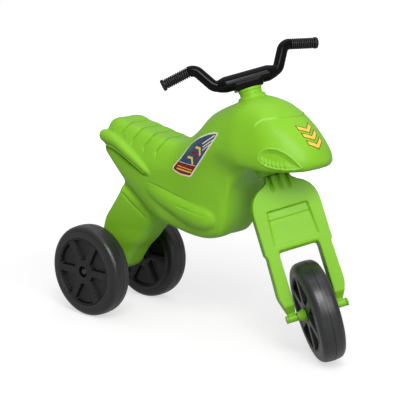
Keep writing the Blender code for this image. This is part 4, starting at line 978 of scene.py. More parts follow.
# Where the mesh is finer: beside the grooves, the intake and the lip, and the grooves' part of the seat
GROOVE_REACH = 0.006
EYE_REACH = 0.004
LIP_FINE_REACH = 0.005
SEAT_LOW = 0.33
SEAT_FINE_START = 0.04
SEAT_FINE_END = 0.18


def refined(mesh, wanted):
    """Splits the edges of a skin where wanted(points) says so."""
    with edited(mesh) as bm:
        flags = wanted(read(mesh.vertices, "co"))
        edges = [e for e in bm.edges if flags[e.verts[0].index] and flags[e.verts[1].index]]
        bmesh.ops.subdivide_edges(bm, edges=edges, cuts=1, use_grid_fill=True)


def seat_place(points):
    """Each point's station along the seat before its section was slid."""
    x = points[:, 0].copy()
    for _ in range(8):
        x = points[:, 0] - slide(x, points[:, 1], points[:, 2])
    return x


def groove_distance(points):
    """How far each point is from the nearest seat groove, and its station along the seat."""
    x = seat_place(points)
    return np.abs(x[:, None] - SEAT_CENTRES).min(1), x


def seat_share(points, x):
    """1 on the seat's top, falling to 0 down its flanks."""
    top = guide(BODY_TOP, x)[:, 1]
    flank = guide(BODY_FLANK, x)[:, 1]
    return smooth((points[:, 2] - flank) / np.maximum(top - flank, 1e-4), *GROOVE_END)


def folded(points):
    """Points with both flanks laid on the left one."""
    return np.stack([points[:, 0], np.abs(points[:, 1]), points[:, 2]], 1)


def flat(points):
    return points[:, [0, 2]]


def eye_depth(points, face):
    """The intake's depth under the skin, negative for its rim and ribs, and how much painted highlight it
    gets.
    """
    place = flat(points)
    distance = near_line(place, EYE_RING)[0]
    x, z = place.T
    wall = np.where(inside(place, EYE), smooth(distance, 0, EYE_WALL), 0)
    above = z - guide(EYE_FLOOR, x)[:, 0]
    depth = EYE_DEPTH * wall * (EYE_FOOT + (1 - EYE_FOOT) * smooth(above, *EYE_FOOT_RISE))
    step = np.clip(np.round((x - EYE_RIB_START) / EYE_RIB_PITCH), 0, EYE_RIBS - 1)
    rib = np.clip(1 - np.abs(x - EYE_RIB_START - EYE_RIB_PITCH * step) / EYE_RIB_HALF, 0, 1)
    raised = smooth(rib, 0, 0.8) * (1 - smooth(above, *EYE_RIB_TOP)) * wall
    depth -= EYE_RIB_HEIGHT * raised + EYE_RIM * hump(distance, EYE_RIM_HALF)
    # Painted highlight on the rim and the rib tops.
    highlight_share = EYE_RIM_HIGHLIGHT * (1 - smooth(distance, 0, EYE_RIM_HALF * 0.8)) + EYE_RIB_HIGHLIGHT * raised**2
    return depth * face * (EYE_BACK + (1 - EYE_BACK) * smooth(x, *EYE_BACK_RUN)), highlight_share * face


def lip_line():
    side = [(x, skin_half(x, z), z) for x, z in LIP]
    tip = LIP[-1][0] + LIP_TIP
    return side + [(tip, 0.0, float(guide(BODY_TOP, tip)[0, 1]))]


def skin_half(x, z):
    """The hull's half width at a place."""
    ring = sections(x, LIP_SAMPLES)[0][:, 0]
    widest = 0.0
    for (y0, z0), (y1, z1) in zip(ring, np.roll(ring, -1, axis=0)):
        if min(z0, z1) <= z <= max(z0, z1) and z0 != z1:
            widest = max(widest, y0 + (y1 - y0) * (z - z0) / (z1 - z0))
    return widest


def body_details(mesh):
    """Moves the skin's points for the seat's grooves, the folds, the intakes and the lip."""
    origin = np.array(BIKE_ORIGIN)
    points = read(mesh.vertices, "co") - origin
    normals = read(mesh.vertex_normals, "vector")
    both = folded(points)

    distance, x = groove_distance(points)
    share = seat_share(points, x) * (normals[:, 2] > -0.2)
    sink = GROOVE_DEPTH * hump(distance, GROOVE_HALF) * share
    between = (x > SEAT_CENTRES[0]) & (x < SEAT_CENTRES[-1])
    pillow = PILLOW * smooth(distance, GROOVE_HALF * 0.6, SEAT_GROOVE_PITCH * 0.4)
    sink -= np.where(between, pillow, 0) * share

    face = smooth(normals[:, 1] * np.sign(points[:, 1]), *FLANK_TURN)
    for line, half, depth, fade, _ in FOLDS:
        distance, _, share = near_line(flat(both), line)
        ends = smooth(share, 0, fade) * (1 - smooth(share, 1 - fade, 1))
        sink += depth * hump(distance, half) * ends * face
    eye, eye_highlight = eye_depth(both, face)

    distance, place, share = near_line(both, lip_line())
    signed = distance * np.sign(np.sum((both - place) * (place - np.array(LIP_HEART)), axis=1))
    near = (both[:, 2] > LIP_LOW) & (both[:, 0] > LIP_BACK)
    above = smooth(signed, *LIP_EDGE) * np.exp(-np.maximum(signed, 0) / LIP_REACH)
    ahead = smooth(share, *LIP_TURN)
    start = near * smooth(share, 0, LIP_START)
    bead = LIP_BEAD * hump(distance, LIP_BEAD_HALF) * (1 - ahead)
    sink += eye - (bead + LIP_STEP * above * ahead) * start
    # Painted highlight along the lip's bead, added to the painted highlights of the intakes.
    paint_highlight(mesh, LIP_HIGHLIGHT * (distance < LIP_BEAD_HALF) * (1 - ahead) * start + eye_highlight)
    write(mesh, points - normals * sink[:, None] + origin)


def detailed_area(points):
    """Where the skin needs a finer mesh: by the seat's grooves, the folds, the intakes and the lip."""
    points = points - np.array(BIKE_ORIGIN)
    both = folded(points)
    distance, x = groove_distance(points)
    made = (distance < GROOVE_REACH) & (seat_share(points, x) > 0) & (points[:, 2] > SEAT_LOW)
    made &= (x > SEAT_FINE_START) & (x < SEAT_FINE_END)
    for line, _, _, _, reach in FOLDS:
        made |= (near_line(flat(both), line)[0] < reach) & (both[:, 1] > 0.03)
    eye = (near_line(flat(both), EYE_RING)[0] < EYE_REACH) | inside(flat(both), EYE)
    return made | (eye & (both[:, 1] > 0.02)) | (near_line(both, lip_line())[0] < LIP_FINE_REACH)


def make_body():
    steps = [(JOIN, loft("leg", list(leg_rings()), BIKE))]
    for side, word in SIDES:
        x = np.linspace(LEG_VALLEY[0][0], LEG_VALLEY[-1][0], 40)
        z = guide(LEG_VALLEY, x)[:, 0]
        radii = guide([(a[0], b) for a, b in zip(LEG_VALLEY, LEG_VALLEY_RADII)], x)[:, 0]
        path = [(a, side * LEG_VALLEY_OUT, b) for a, b in zip(x, z)]
        steps.append((CUT, tube(word + "_valley", path, radii, 40, BIKE)))
    boss_end = REAR_TRACK / 2 - WHEEL_ROOM / 2 + RIM_INSET - 2 * GAP - REAR_WASHER
    across = axle(BIKE, (0, 0, REAR_AXLE_Z), 1)
    steps.append((JOIN, rod("axle_boss", LEG_BOSS_RADIUS, -boss_end, boss_end, across)))
    for side, word in SIDES:
        steps += [(JOIN, ridge(word + "_pod", POD, POD_FLATTEN, side)),
                  (JOIN, ridge(word + "_rail", RAIL, 1.0, side)),
                  (JOIN, ridge(word + "_rail_lip", RAIL_LIP, 1.0, side, 20))]
    steps += [(JOIN, rod("head_flange", HEAD_FLANGE_RADIUS, BOSS_LOW + BOSS_HEIGHT / 2, HEAD_TOP, HEAD)),
              (JOIN, rod("head_boss", BOSS_RADIUS, BOSS_LOW, BOSS_LOW + BOSS_HEIGHT, HEAD))]
    mesh = melted(carved(body_hull(), steps, "body_solid"), BODY_VOXEL, BODY_ROUNDS, "body_melted")
    refined(mesh, detailed_area)
    refined(mesh, detailed_area)
    body_details(mesh)
    seat = BUSH_RADIUS + FIT
    bore = STEM_RADIUS + 0.002
    lower = BOSS_LOW + BUSH_DEPTH + GAP
    upper = HEAD_TOP - BUSH_DEPTH - GAP
    over = 0.010
    cavity = [(0.0, HEAD_TOP + over), (seat, HEAD_TOP + over), (seat, upper), (bore, upper), (bore, lower),
              (seat, lower), (seat, BOSS_LOW - over), (0.0, BOSS_LOW - over)]
    radius = HEAD_FLANGE_RADIUS
    rim = rounded([(0.0, HEAD_TOP - 0.016), (radius - 0.0012, HEAD_TOP - 0.016), (radius, HEAD_TOP - 0.007),
                   (radius, HEAD_TOP), (0.0, HEAD_TOP)], 0.0016, 5)
    low = NECK_TOP + 2 * GAP
    high = BOSS_LOW + 0.004
    skirt = [(SKIRT_INNER, low), (SKIRT_OUTER, low), (SKIRT_OUTER, high), (SKIRT_INNER, high)]
    steps = [(JOIN, lathe("head_rim", rim, 96, HEAD)), (JOIN, lathe("head_skirt", skirt, 96, HEAD, True)),
             (CUT, lathe("head_cavity", cavity, 64, HEAD)),
             (CUT, rod("axle_bore", AXLE_RADIUS + FIT, -2 * boss_end, 2 * boss_end, across, 48))]
    return carved(mesh, steps, "body_skin")


# The fork: its outline, carved as the solid is, with soft edges

def fork_outline():
    """Front view of the fork in (left, up): crown, two legs and the arch over the wheel."""
    half = FORK_WIDTH / 2
    knee = FORK_KNEE_WIDTH / 2
    foot = FORK_FOOT_WIDTH / 2
    inner = FORK_GAP / 2
    corner = 0.006
    low = -FORK_BOSS_RADIUS
    rise = FORK_CROWN_TOP - FORK_SHOULDER
    quarter = [math.pi / 2 * k / 8 for k in range(9)]
    side = [(NECK_HALF_WIDTH + NECK_FILLET * (1 - math.cos(angle)), NECK_TOP - NECK_RISE * math.sin(angle))
            for angle in quarter]
    for k in range(25):
        angle = math.pi / 2 * (1 - k / 24)
        place = (half * abs(math.cos(angle)) ** 0.8, FORK_SHOULDER + rise * math.sin(angle) ** 0.8)
        if place[0] > NECK_HALF_WIDTH + NECK_FILLET + 0.002:
            side.append(place)
    side += [(half, FORK_ARCH + 0.002), (half - 0.0030, FORK_ARCH - 0.003), (knee, FORK_KNEE + 0.008),
             (knee - 0.0012, FORK_KNEE), (foot + 0.0035, 0.016), (foot, 0.006), (foot - 0.002, low),
             (inner + 0.002, low), (inner, 0.002)]
    side += [(inner - corner + corner * math.cos(angle), FORK_ARCH - corner + corner * math.sin(angle))
             for angle in quarter]
    return side + [(-y, z) for y, z in reversed(side) if y > 1e-6]


def screw_hole(name, height, reach):
    """The cutter of a screw's hole, from the head's axis to the back."""
    back = Matrix.Translation((0, 0, height)) @ Matrix.Rotation(-math.pi / 2, 4, "Y")
    return rod(name, SCREW_RADIUS, 0.0, reach + 0.010, back, 24)


def triangulated(mesh):
    """Splits the flat ends of a prism into triangles that keep to its outline."""
    with edited(mesh) as bm:
        bmesh.ops.triangulate(bm, faces=[f for f in bm.faces if len(f.verts) > 4])
    return mesh


FORK_VOXEL = 0.0011
FORK_ROUNDS = 7
SIDE_SLOT_DEPTH = 0.0115
ARCH_BEVEL = 0.0065
# The panel's recess as (height, depth)
PANEL_ROWS = ((PANEL_BOTTOM, 0.0020), (0.1680, 0.0042), (0.1690, 0.0058), (0.1712, 0.0058),
              (0.1722, 0.0036), (PANEL_TOP - 0.0012, 0.0062), (PANEL_TOP, 0.0062))
FACING = Matrix(((0, 0, 1, 0), (1, 0, 0, 0), (0, 1, 0, 0), (0, 0, 0, 1)))


def make_fork():
    base = triangulated(prism("fork_plate", fork_outline(), -FORK_BACK, FORK_FRONT, FACING))
    steps = [(JOIN, rod("fork_neck", NECK_RADIUS, NECK_TOP - NECK_HEIGHT, NECK_TOP))]
    high = Vector((FORK_FRONT, 0, FOOT_CHAMFER_TOP))
    low = Vector((0.0, 0, FOOT_CHAMFER_LOW))
    over = (high - low) * 0.6
    below = low - over * 1.2
    reach = Vector((FORK_WIDTH / 2, 0, 0))
    wedge = [high + over, below, below + reach, high + over + reach]
    rings = [[(p.x, y, p.z) for p in wedge] for y in (-FORK_WIDTH / 2, FORK_WIDTH / 2)]
    steps.append((CUT, loft("foot_chamfer", rings)))
    across = axle(Matrix(), (FORK_OFFSET, 0, 0), 1)
    for side, word in SIDES:
        ends = sorted((-side * (FORK_GAP / 2 + 0.0002), -side * FORK_BOSS_WIDTH / 2))
        steps.append((JOIN, rod(word + "_fork_boss", FORK_BOSS_RADIUS, *ends, across)))
    rings = []
    proud = FORK_FRONT + 0.006
    for z, depth in PANEL_ROWS:
        share = (z - PANEL_BOTTOM) / (PANEL_TOP - PANEL_BOTTOM)
        half = (PANEL_WIDTH_BOTTOM + (PANEL_WIDTH_TOP - PANEL_WIDTH_BOTTOM) * share) / 2
        deep = FORK_FRONT - depth
        rings.append([(deep, -half, z), (deep, half, z), (proud, half, z), (proud, -half, z)])
    steps.append((CUT, loft("panel", rings)))
    front = FORK_FRONT + 0.002
    back = FORK_FRONT - ARCH_BEVEL
    wedge = [(front, FORK_ARCH + ARCH_BEVEL), (back, FORK_ARCH - 0.0005), (back, FORK_ARCH - 0.003),
             (front, FORK_ARCH - 0.003)]
    reach = FORK_GAP / 2 - 0.001
    steps.append((CUT, loft("arch_bevel", [[(x, y, z) for x, z in wedge] for y in (-reach, reach)])))
    for k, depth in ((-1, SIDE_SLOT_DEPTH), (0, SLOT_DEPTH), (1, SIDE_SLOT_DEPTH)):
        tilt = Matrix.Rotation(math.atan2(depth, SLOT_LENGTH), 4, "Y").inverted()
        foot = Matrix.Translation((FORK_FRONT, k * SLOT_PITCH, NECK_TOP - SLOT_LENGTH))
        slot = box(f"slot_{k + 2}", (0.030, SLOT_WIDTH, 2 * SLOT_LENGTH), (0.015, 0, SLOT_LENGTH),
                   foot @ tilt)
        steps.append((CUT, slot))
    inner = FORK_GAP / 2
    width = FORK_KNEE_WIDTH / 2 - inner - 2 * CHANNEL_WALL
    pitch = (FORK_ARCH - FORK_KNEE) / CHANNEL_RIBS
    inset = NECK_HALF_WIDTH / 4 + CHANNEL_WALL
    crown = FORK_WIDTH / 2 - inset - CHANNEL_WALL
    for side, word in SIDES:
        for k in range(CHANNEL_RIBS):
            centre = (-FORK_BACK, side * (inner + CHANNEL_WALL + width / 2), FORK_KNEE + pitch * (k + 0.5))
            size = (2 * CHANNEL_DEPTH, width, pitch - CHANNEL_WALL)
            steps.append((CUT, box(f"{word}_channel_{k + 1}", size, centre)))
        size = (2 * CHANNEL_DEPTH, crown, FORK_SHOULDER - FORK_ARCH - CHANNEL_WALL)
        centre = (-FORK_BACK, side * (inset + crown / 2), (FORK_SHOULDER + FORK_ARCH) / 2 + CHANNEL_WALL)
        steps.append((CUT, box(word + "_crown_channel", size, centre)))
    mesh = melted(carved(base, steps, "fork_solid"), FORK_VOXEL, FORK_ROUNDS, "fork_melted")
    steps = [(CUT, rod("stem_socket", STEM_RADIUS + FIT, NECK_TOP - SOCKET_DEPTH, NECK_TOP + 0.01)),
             (CUT, rod("fork_axle_bore", AXLE_RADIUS + FIT, -FORK_WIDTH, FORK_WIDTH, across, 48)),
             (CUT, screw_hole("fork_screw_hole", NECK_TOP - SOCKET_DEPTH * 0.7, NECK_RADIUS))]
    return carved(mesh, steps, "fork_skin")


# Wheels, in a frame of their own with Z along the axle

def wheel_frame(word):
    """Where a wheel stands: Z along its axle, to the side that its hub cap is on, and Y up."""
    if word == "front":
        return axle(STEER, (FORK_OFFSET, 0, 0), 1)
    out = 1 if word == "rear_left" else -1
    return axle(BIKE, (0, out * REAR_TRACK / 2, REAR_AXLE_Z), -out)


TYRE_STEPS = 160
TYRE_CROWN = 0.0007
PARTING = 0.0008
SIDE_STEP = 0.0005


def tyre_rows():
    """The tyre's section: bore, a raised band on each side, soft shoulders and a crowned tread."""
    half = WHEEL_WIDTH / 2
    tread = TREAD_WIDTH / 2
    drop = SHOULDER_DROP
    bore = RIM_RADIUS + FIT
    lip = 0.0045
    rows = [(bore, half - 0.0012), (bore + 0.0006, half - 0.0003), (bore + lip, half),
            (bore + lip + 0.0007, half - SIDE_STEP), (WHEEL_RADIUS - drop * 1.15, half - SIDE_STEP * 0.8)]
    for k in range(1, 12):
        angle = math.pi / 2 * k / 12
        rows.append((WHEEL_RADIUS - drop + (drop - TYRE_CROWN) * math.sin(angle),
                     tread + (half - SIDE_STEP - tread) * math.cos(angle)))
    for k in range(8):
        z = tread * (1 - k / 8)
        rows.append((WHEEL_RADIUS - TYRE_CROWN + TYRE_CROWN * (1 - (z / tread) ** 2), z))
    rows += [(WHEEL_RADIUS - 0.0001, PARTING * 1.6), (WHEEL_RADIUS - 0.0001, PARTING),
             (WHEEL_RADIUS - PARTING, PARTING * 0.5)]
    return rows + [(r, -z) for r, z in reversed(rows)]


def rim_rows():
    face = WHEEL_WIDTH / 2 - RIM_INSET
    bore = AXLE_RADIUS + FIT + HUB_BUSH_WALL + FIT
    seat = face - HUB_RECESS_DEPTH
    ring = HUB_RECESS_RADIUS
    return rounded([(bore, seat), (ring, seat), (ring, face + 0.0008), (ring + 0.0032, face + 0.0008),
                    (ring + 0.0042, face), (0.0600, face), (0.0606, face + 0.0006),
                    (RIM_RADIUS - 0.0003, face + 0.0006), (RIM_RADIUS, face - 0.0008),
                    (RIM_RADIUS, 0.0008 - face), (RIM_RADIUS - 0.0008, -face), (bore, -face)],
                   0.0008, 3, True)


def pocket_outline(middle, shrink):
    """A pocket between two spokes, with sides along the spokes and rounded corners."""
    half = SPOKE_WIDTH / 2 + shrink
    inner = POCKET_INNER + shrink * 0.7
    outer = POCKET_OUTER - shrink
    corners = [turned(math.sqrt(reach**2 - half**2), half, -math.pi / SPOKES) for reach in (inner, outer)]
    low, high = (math.atan2(y, x) for x, y in corners)
    ring = corners + [turned(outer, 0, high * (1 - k / 5)) for k in range(1, 10)]
    ring += [(x, -y) for x, y in reversed(corners)]
    ring += [turned(inner, 0, low * (k / 2 - 1)) for k in range(1, 4)]
    return [turned(x, y, middle) for x, y in rounded(ring, POCKET_CORNER - shrink * 0.5, 6, True)]


POCKET_DRAFT = 0.0012
POCKET_EDGE = 0.0007


def pocket(name, middle, side):
    """A pocket's cutter: a flared mouth with a soft edge, drafted walls and a softened floor."""
    face = WHEEL_WIDTH / 2 - RIM_INSET
    rings = []
    rows = ((-0.0030, -POCKET_EDGE * 1.4), (0.0, -POCKET_EDGE * 0.9),
            (POCKET_EDGE * 0.35, -POCKET_EDGE * 0.3), (POCKET_EDGE, 0.0),
            (POCKET_DEPTH - 0.0016, POCKET_DRAFT), (POCKET_DEPTH - 0.0004, POCKET_DRAFT + 0.0005),
            (POCKET_DEPTH, POCKET_DRAFT + 0.0018))
    for depth, shrink in rows:
        rings.append([(x, y, side * (face - depth)) for x, y in pocket_outline(middle, shrink)])
    return loft(name, rings)


def marked(mesh):
    """Keeps each point's place about the axle with the mesh, for the wheel's materials."""
    places = read(mesh.vertices, "co").ravel()
    mesh.attributes.new(AXLE_PLACE, "FLOAT_VECTOR", "POINT").data.foreach_set("vector", places)
    return mesh


def make_wheel(word, first_spoke):
    body = word + "_wheel"
    place = wheel_frame(word)
    tyre = marked(lathe(word + "_tyre_skin", tyre_rows(), TYRE_STEPS, closed=True))
    piece(tyre, word + "_tyre_skin", body, word + "_tyre", "dark_grey_tyre", 35, place)
    rim = lathe(word + "_rim_solid", rim_rows(), TYRE_STEPS, closed=True)
    steps = []
    for k in range(SPOKES):
        middle = first_spoke + 2 * math.pi * (k + 0.5) / SPOKES
        for side, label in ((1, "out"), (-1, "in")):
            steps.append((CUT, triangulated(pocket(f"{label}_pocket_{k}", middle, side))))
    rim = marked(carved(rim, steps, word + "_rim_skin"))
    piece(rim, word + "_rim_skin", body, word + "_rim", "dark_grey_rim", 30, place)


# The handlebar and its grips

def bend_run(before, corner, after, radius):
    return radius / math.tan((before - corner).angle(after - corner) / 2)


def bent(corners, radius, steps):
    """A path of straight runs with an arc of the given radius at each inner corner."""
    path = [corners[0]]
    for before, corner, after in zip(corners, corners[1:], corners[2:]):
        back = (before - corner).normalized()
        ahead = (after - corner).normalized()
        half = back.angle(ahead) / 2
        run = bend_run(before, corner, after, radius)
        centre = corner + (back + ahead).normalized() * (radius / math.sin(half))
        start = (corner + back * run - centre).normalized()
        finish = (corner + ahead * run - centre).normalized()
        path += [centre + radius * start.slerp(finish, k / steps) for k in range(steps + 1)]
    path.append(corners[-1])
    return path


BAR_VOXEL = 0.0008
BAR_ROUNDS = 9


def make_bar():
    centre = Vector((0.0, 0.0, HUB_LOW + BAR_ABOVE_HUB))
    corners = [centre + Vector(c) for c in (BAR_END, BAR_HIGH_CORNER, BAR_LOW_CORNER)] + [centre]
    way = (corners[0] - corners[1]).normalized()
    start = bend_run(*corners[:3], BAR_BEND) + GRIP_MARGIN
    step = corners[1] + way * start
    arc = bent([step, corners[1], corners[2], corners[3]], BAR_BEND, 10)
    path = arc + [Vector((p.x, -p.y, p.z)) for p in arc[-2::-1]]
    bar = tube("bar_run", path, [BAR_RADIUS] * len(path), 48)
    rise = BAR_LOW_CORNER[2] * 0.8
    shares = np.linspace(-1, 1, 41)
    size = [0.60 + 0.40 * min(1.0, (1 - abs(s)) / 0.30) ** 0.7 for s in shares]
    points = [centre + Vector((0, float(s) * BAR_MIDDLE_HALF, rise)) for s in shares]
    fat = tube("bar_middle", points, [BAR_MIDDLE_RADIUS * s for s in size], 56)
    top = centre.z - 0.002
    rings = []
    for z, front in ((HUB_LOW, HUB_FOOT), (top, HUB_FRONT)):
        right = [(-HUB_BACK, -HUB_WIDTH / 2), (front, -HUB_WIDTH / 2)]
        outline = right + [(x, -y) for x, y in reversed(right)]
        rings.append([(x, y, z) for x, y in rounded(outline, 0.006, 6, True)])
    hub = triangulated(loft("bar_hub", rings))
    mesh = melted(carved(bar, [(JOIN, fat), (JOIN, hub)], "bar_solid"), BAR_VOXEL, BAR_ROUNDS, "bar_melted")
    steps = []
    for side, word in SIDES:
        ends = [Vector((p.x, side * p.y, p.z)) for p in (corners[0] - way * 0.0035, step - way * 0.002)]
        steps.append((JOIN, tube(word + "_bar_end", ends, [GRIP_BORE - FIT] * 2, 48)))
    steps += [(CUT, rod("hub_socket", STEM_RADIUS + FIT, HUB_LOW - 0.01, HUB_LOW + STEM_IN_HUB + GAP)),
              (CUT, screw_hole("bar_screw_hole", HUB_LOW + 0.0065, HUB_BACK))]
    mesh = carved(mesh, steps, "bar_skin")
    piece(mesh, "bar_skin", "steering", "handlebar", "gloss_black_plastic", 50, STEER)
    length = (corners[0] - corners[1]).length
    for side, word in SIDES:
        turn = Vector((way.x, side * way.y, way.z)).to_track_quat("Z", "X").to_matrix().to_4x4()
        place = STEER @ Matrix.Translation((corners[1].x, side * corners[1].y, corners[1].z)) @ turn
        grip = lathe(word + "_grip_skin", grip_rows(start, length), 72)
        # Painted highlights on the crowns of the grip's ribs, not on its end flange.
        radii = np.linalg.norm(read(grip.vertices, "co")[:, :2], axis=1)
        outer = smooth(radii, GRIP_RADIUS - 0.0008, GRIP_RADIUS - 0.0001)
        paint_highlight(grip, outer * (radii < GRIP_RADIUS + 0.0002))
        piece(grip, word + "_grip_skin", "steering", word + "_grip", "black_grip_rubber", 50, place)


GRIP_WAVE = ((0.08, GRIP_GROOVE), (0.24, 0.0009), (0.36, 0.0002), (0.46, 0.0), (0.60, 0.0), (0.70, 0.0002),
             (0.82, 0.0009), (0.98, GRIP_GROOVE))


def grip_rows(bar_step, length):
    """A ribbed sleeve with a blind bore and a round end flange, along Z from the bar's bend."""
    start = bar_step + GAP + 0.0002
    low = length - GRIP_FLANGE_LENGTH
    bore_end = length - 0.0032
    wide = GRIP_FLANGE_RADIUS
    neck = GRIP_RADIUS - 0.0022
    rows = rounded([(0.0, length - 0.0006), (wide, length - 0.0011), (wide, low + 0.0002),
                    (neck, low - 0.0002), (neck, low - 0.0010)], 0.0026, 6)
    low -= 0.0012
    pitch = (low - start) / GRIP_RIBS
    for k in range(GRIP_RIBS):
        foot = low - pitch * k
        rows += [(GRIP_RADIUS - drop, foot - pitch * place) for place, drop in GRIP_WAVE]
    return rows + [(GRIP_BORE, start), (GRIP_BORE, bore_end), (0.0, bore_end)]


# Stickers: thin skins that lie on the body

STICKER_SINK = 0.0005
STICKER_STEP = 0.0026
STICKER_REACH = 0.09
FILM = 0.00018
FIELD = 0.00032
MOTIF = 0.00046


def bent_in(points, inset):
    """A closed outline moved inward by an inset, with its corners kept."""
    ring = [Vector(p) for p in points]
    area = sum(a.x * b.y - a.y * b.x for a, b in zip(ring, ring[1:] + ring[:1]))
    made = []
    for i, corner in enumerate(ring):
        back = (corner - ring[i - 1]).normalized()
        ahead = (ring[(i + 1) % len(ring)] - corner).normalized()
        normals = [Vector((-way.y, way.x)) * math.copysign(1, area) for way in (back, ahead)]
        middle = normals[0] + normals[1]
        made.append(tuple(corner + middle * (2 * inset / max(middle.dot(middle), 0.8))))
    return made


def bar_shape(start, finish, half):
    """A slim stripe between two places."""
    start = Vector(start)
    finish = Vector(finish)
    way = (finish - start).normalized() * half
    side = Vector((-way.y, way.x))
    return [tuple(p) for p in (start - side, finish - side, finish + side, start + side)]


def chevron_shape(tip, reach, half, thick, turn):
    """An arrow head with its tip at a place, pointing along an angle."""
    back = -reach - thick
    points = [(0, 0), (-reach, half), (back, half), (-thick, 0), (back, -half), (-reach, -half)]
    return [(tip[0] + x, tip[1] + y) for x, y in (turned(*point, turn) for point in points)]


def sticker(name, outline, tree, frame_of, proud, look):
    """Lays a flat outline on the body: cut into small faces, dropped on the skin and closed below."""
    bm = bmesh.new()
    whole = bm.faces.new([bm.verts.new((x, y, 0)) for x, y in outline])
    whole.normal_update()
    bmesh.ops.triangulate(bm, faces=[whole])
    for axis in (0, 1):
        normal = [0.0, 0.0, 0.0]
        normal[axis] = 1.0
        places = [p[axis] for p in outline]
        for at in np.arange(min(places) + STICKER_STEP, max(places), STICKER_STEP):
            cut = [0.0, 0.0, 0.0]
            cut[axis] = float(at)
            geometry = bm.verts[:] + bm.edges[:] + bm.faces[:]
            bmesh.ops.bisect_plane(bm, geom=geometry, plane_co=cut, plane_no=normal)
    bmesh.ops.remove_doubles(bm, verts=bm.verts, dist=1e-6)
    bmesh.ops.triangulate(bm, faces=bm.faces)
    out = (frame_of.to_3x3() @ Vector((0, 0, 1))).normalized()
    high = []
    low = []
    bm.verts.index_update()
    for vert in bm.verts:
        place, normal, _, _ = tree.ray_cast(frame_of @ vert.co + out * STICKER_REACH, -out)
        high.append(place + normal * proud)
        low.append(place - normal * STICKER_SINK)
    count = len(high)
    faces = [tuple(v.index for v in face.verts) for face in bm.faces]
    faces += [tuple(i + count for i in reversed(face)) for face in faces]
    faces += [(e.verts[0].index, e.verts[1].index, e.verts[1].index + count, e.verts[0].index + count)
              for e in bm.edges if e.is_boundary]
    bm.free()
    piece(mesh_of(name, high + low, faces), name, "body", None, "lime_green_plastic", 50, None, look)


SIDE_SHAPE = metres(((305, 389.2), (296.5, 389.2), (280.7, 385.7), (256.7, 376.1), (224.7, 359.5),
        (211.2, 335.1), (195.2, 316.8), (193.5, 312.5), (195.5, 308.8), (216.4, 302.7), (237.4, 302),
        (242, 304.2), (246.3, 310.1), (272.2, 341.3), (294, 368.9), (305.2, 386)))
SIDE_BORDER = 0.0022
SIDE_SPLIT = metres(((207.5, 326.5), (256, 324)))
SPLIT_GAP = 0.0005
SIDE_STRIPES = metres((((269, 365.5), (298.5, 384), 0.9), ((271.5, 360.5), (296, 376.5), 0.9),
        ((270.5, 354.5), (290.5, 368), 0.8)))
SIDE_CHEVRONS = metres(((266, 359), (256.5, 349.2), (247, 339.4)))
SIDE_CHEVRON = (0.0080, 0.0092, 0.0055)
SIDE_TURN = math.radians(46)
SIDE_RULES = metres((((206, 314), (242, 310.5), 1.2), ((207.5, 319), (244, 315), 0.7)))
FRONT_TURN = math.radians(-90)
FRONT_CHEVRONS = (0.0160, 0.0, -0.0160)
FRONT_CHEVRON = (0.0120, 0.0170, 0.0110)
FRONT_EDGE = 0.0014
FRONT_PLACE = (0.4610, -0.0070)


def split_outline(outline, line, keep):
    """The part of a closed outline on one side of a line; keep is 1 for the upper side."""
    (ax, ay), (bx, by) = line
    side = [keep * ((bx - ax) * (y - ay) - (by - ay) * (x - ax)) for x, y in outline]
    made = []
    for i, point in enumerate(outline):
        j = (i + 1) % len(outline)
        if side[i] >= 0:
            made.append(point)
        if side[i] * side[j] < 0:
            t = side[i] / (side[i] - side[j])
            made.append(tuple(a + t * (b - a) for a, b in zip(point, outline[j])))
    return made


def make_stickers(skin):
    bm = bmesh.new()
    bm.from_mesh(skin)
    tree = BVHTree.FromBMesh(bm)
    bm.free()
    field = bent_in(SIDE_SHAPE, SIDE_BORDER)
    upper, lower = (bent_in(split_outline(field, SIDE_SPLIT, keep), SPLIT_GAP) for keep in (1, -1))
    layers = [("edge", SIDE_SHAPE, FILM, CREAM), ("upper", upper, FIELD, BLUE),
              ("lower", lower, FIELD, RED)]
    for k, stripe in enumerate(SIDE_STRIPES):
        layers.append((f"stripe_{k + 1}", bar_shape(*stripe), MOTIF, CREAM))
    for k, tip in enumerate(SIDE_CHEVRONS):
        shape = chevron_shape(tip, *SIDE_CHEVRON, SIDE_TURN)
        layers.append((f"chevron_{k + 1}", shape, MOTIF, RED if k == 1 else YELLOW))
    for k, rule in enumerate(SIDE_RULES):
        layers.append((f"rule_{k + 1}", bar_shape(*rule), MOTIF, YELLOW))
    for side, word in SIDES:
        lay = BIKE @ Matrix(((1, 0, 0, 0), (0, 0, side, 0), (0, 1, 0, 0), (0, 0, 0, 1)))
        for name, outline, proud, look in layers:
            sticker(f"{word}_sticker_{name}", outline, tree, lay, proud, look)
    place, normal, _, _ = tree.ray_cast(BIKE @ Vector((*FRONT_PLACE, 0.6)), Vector((0, 0, -1)))
    across = Vector((0, 1, 0))
    across = (across - normal * across.dot(normal)).normalized()
    lay = Matrix((across, normal.cross(across), normal)).transposed().to_4x4()
    lay.translation = place
    for k, high in enumerate(FRONT_CHEVRONS):
        dark = chevron_shape((0.0, high - FRONT_CHEVRON[0]), *FRONT_CHEVRON, FRONT_TURN)
        sticker(f"front_sticker_edge_{k + 1}", dark, tree, lay, FILM, MAROON)
        sticker(f"front_sticker_{k + 1}", bent_in(dark, FRONT_EDGE), tree, lay, FIELD, YELLOW)


# The small turned parts

def small_part(name, profile, body, node, slot, place, steps=72, closed=False):
    piece(lathe(name, profile, steps, None, closed), name, body, node, slot, 40, place)


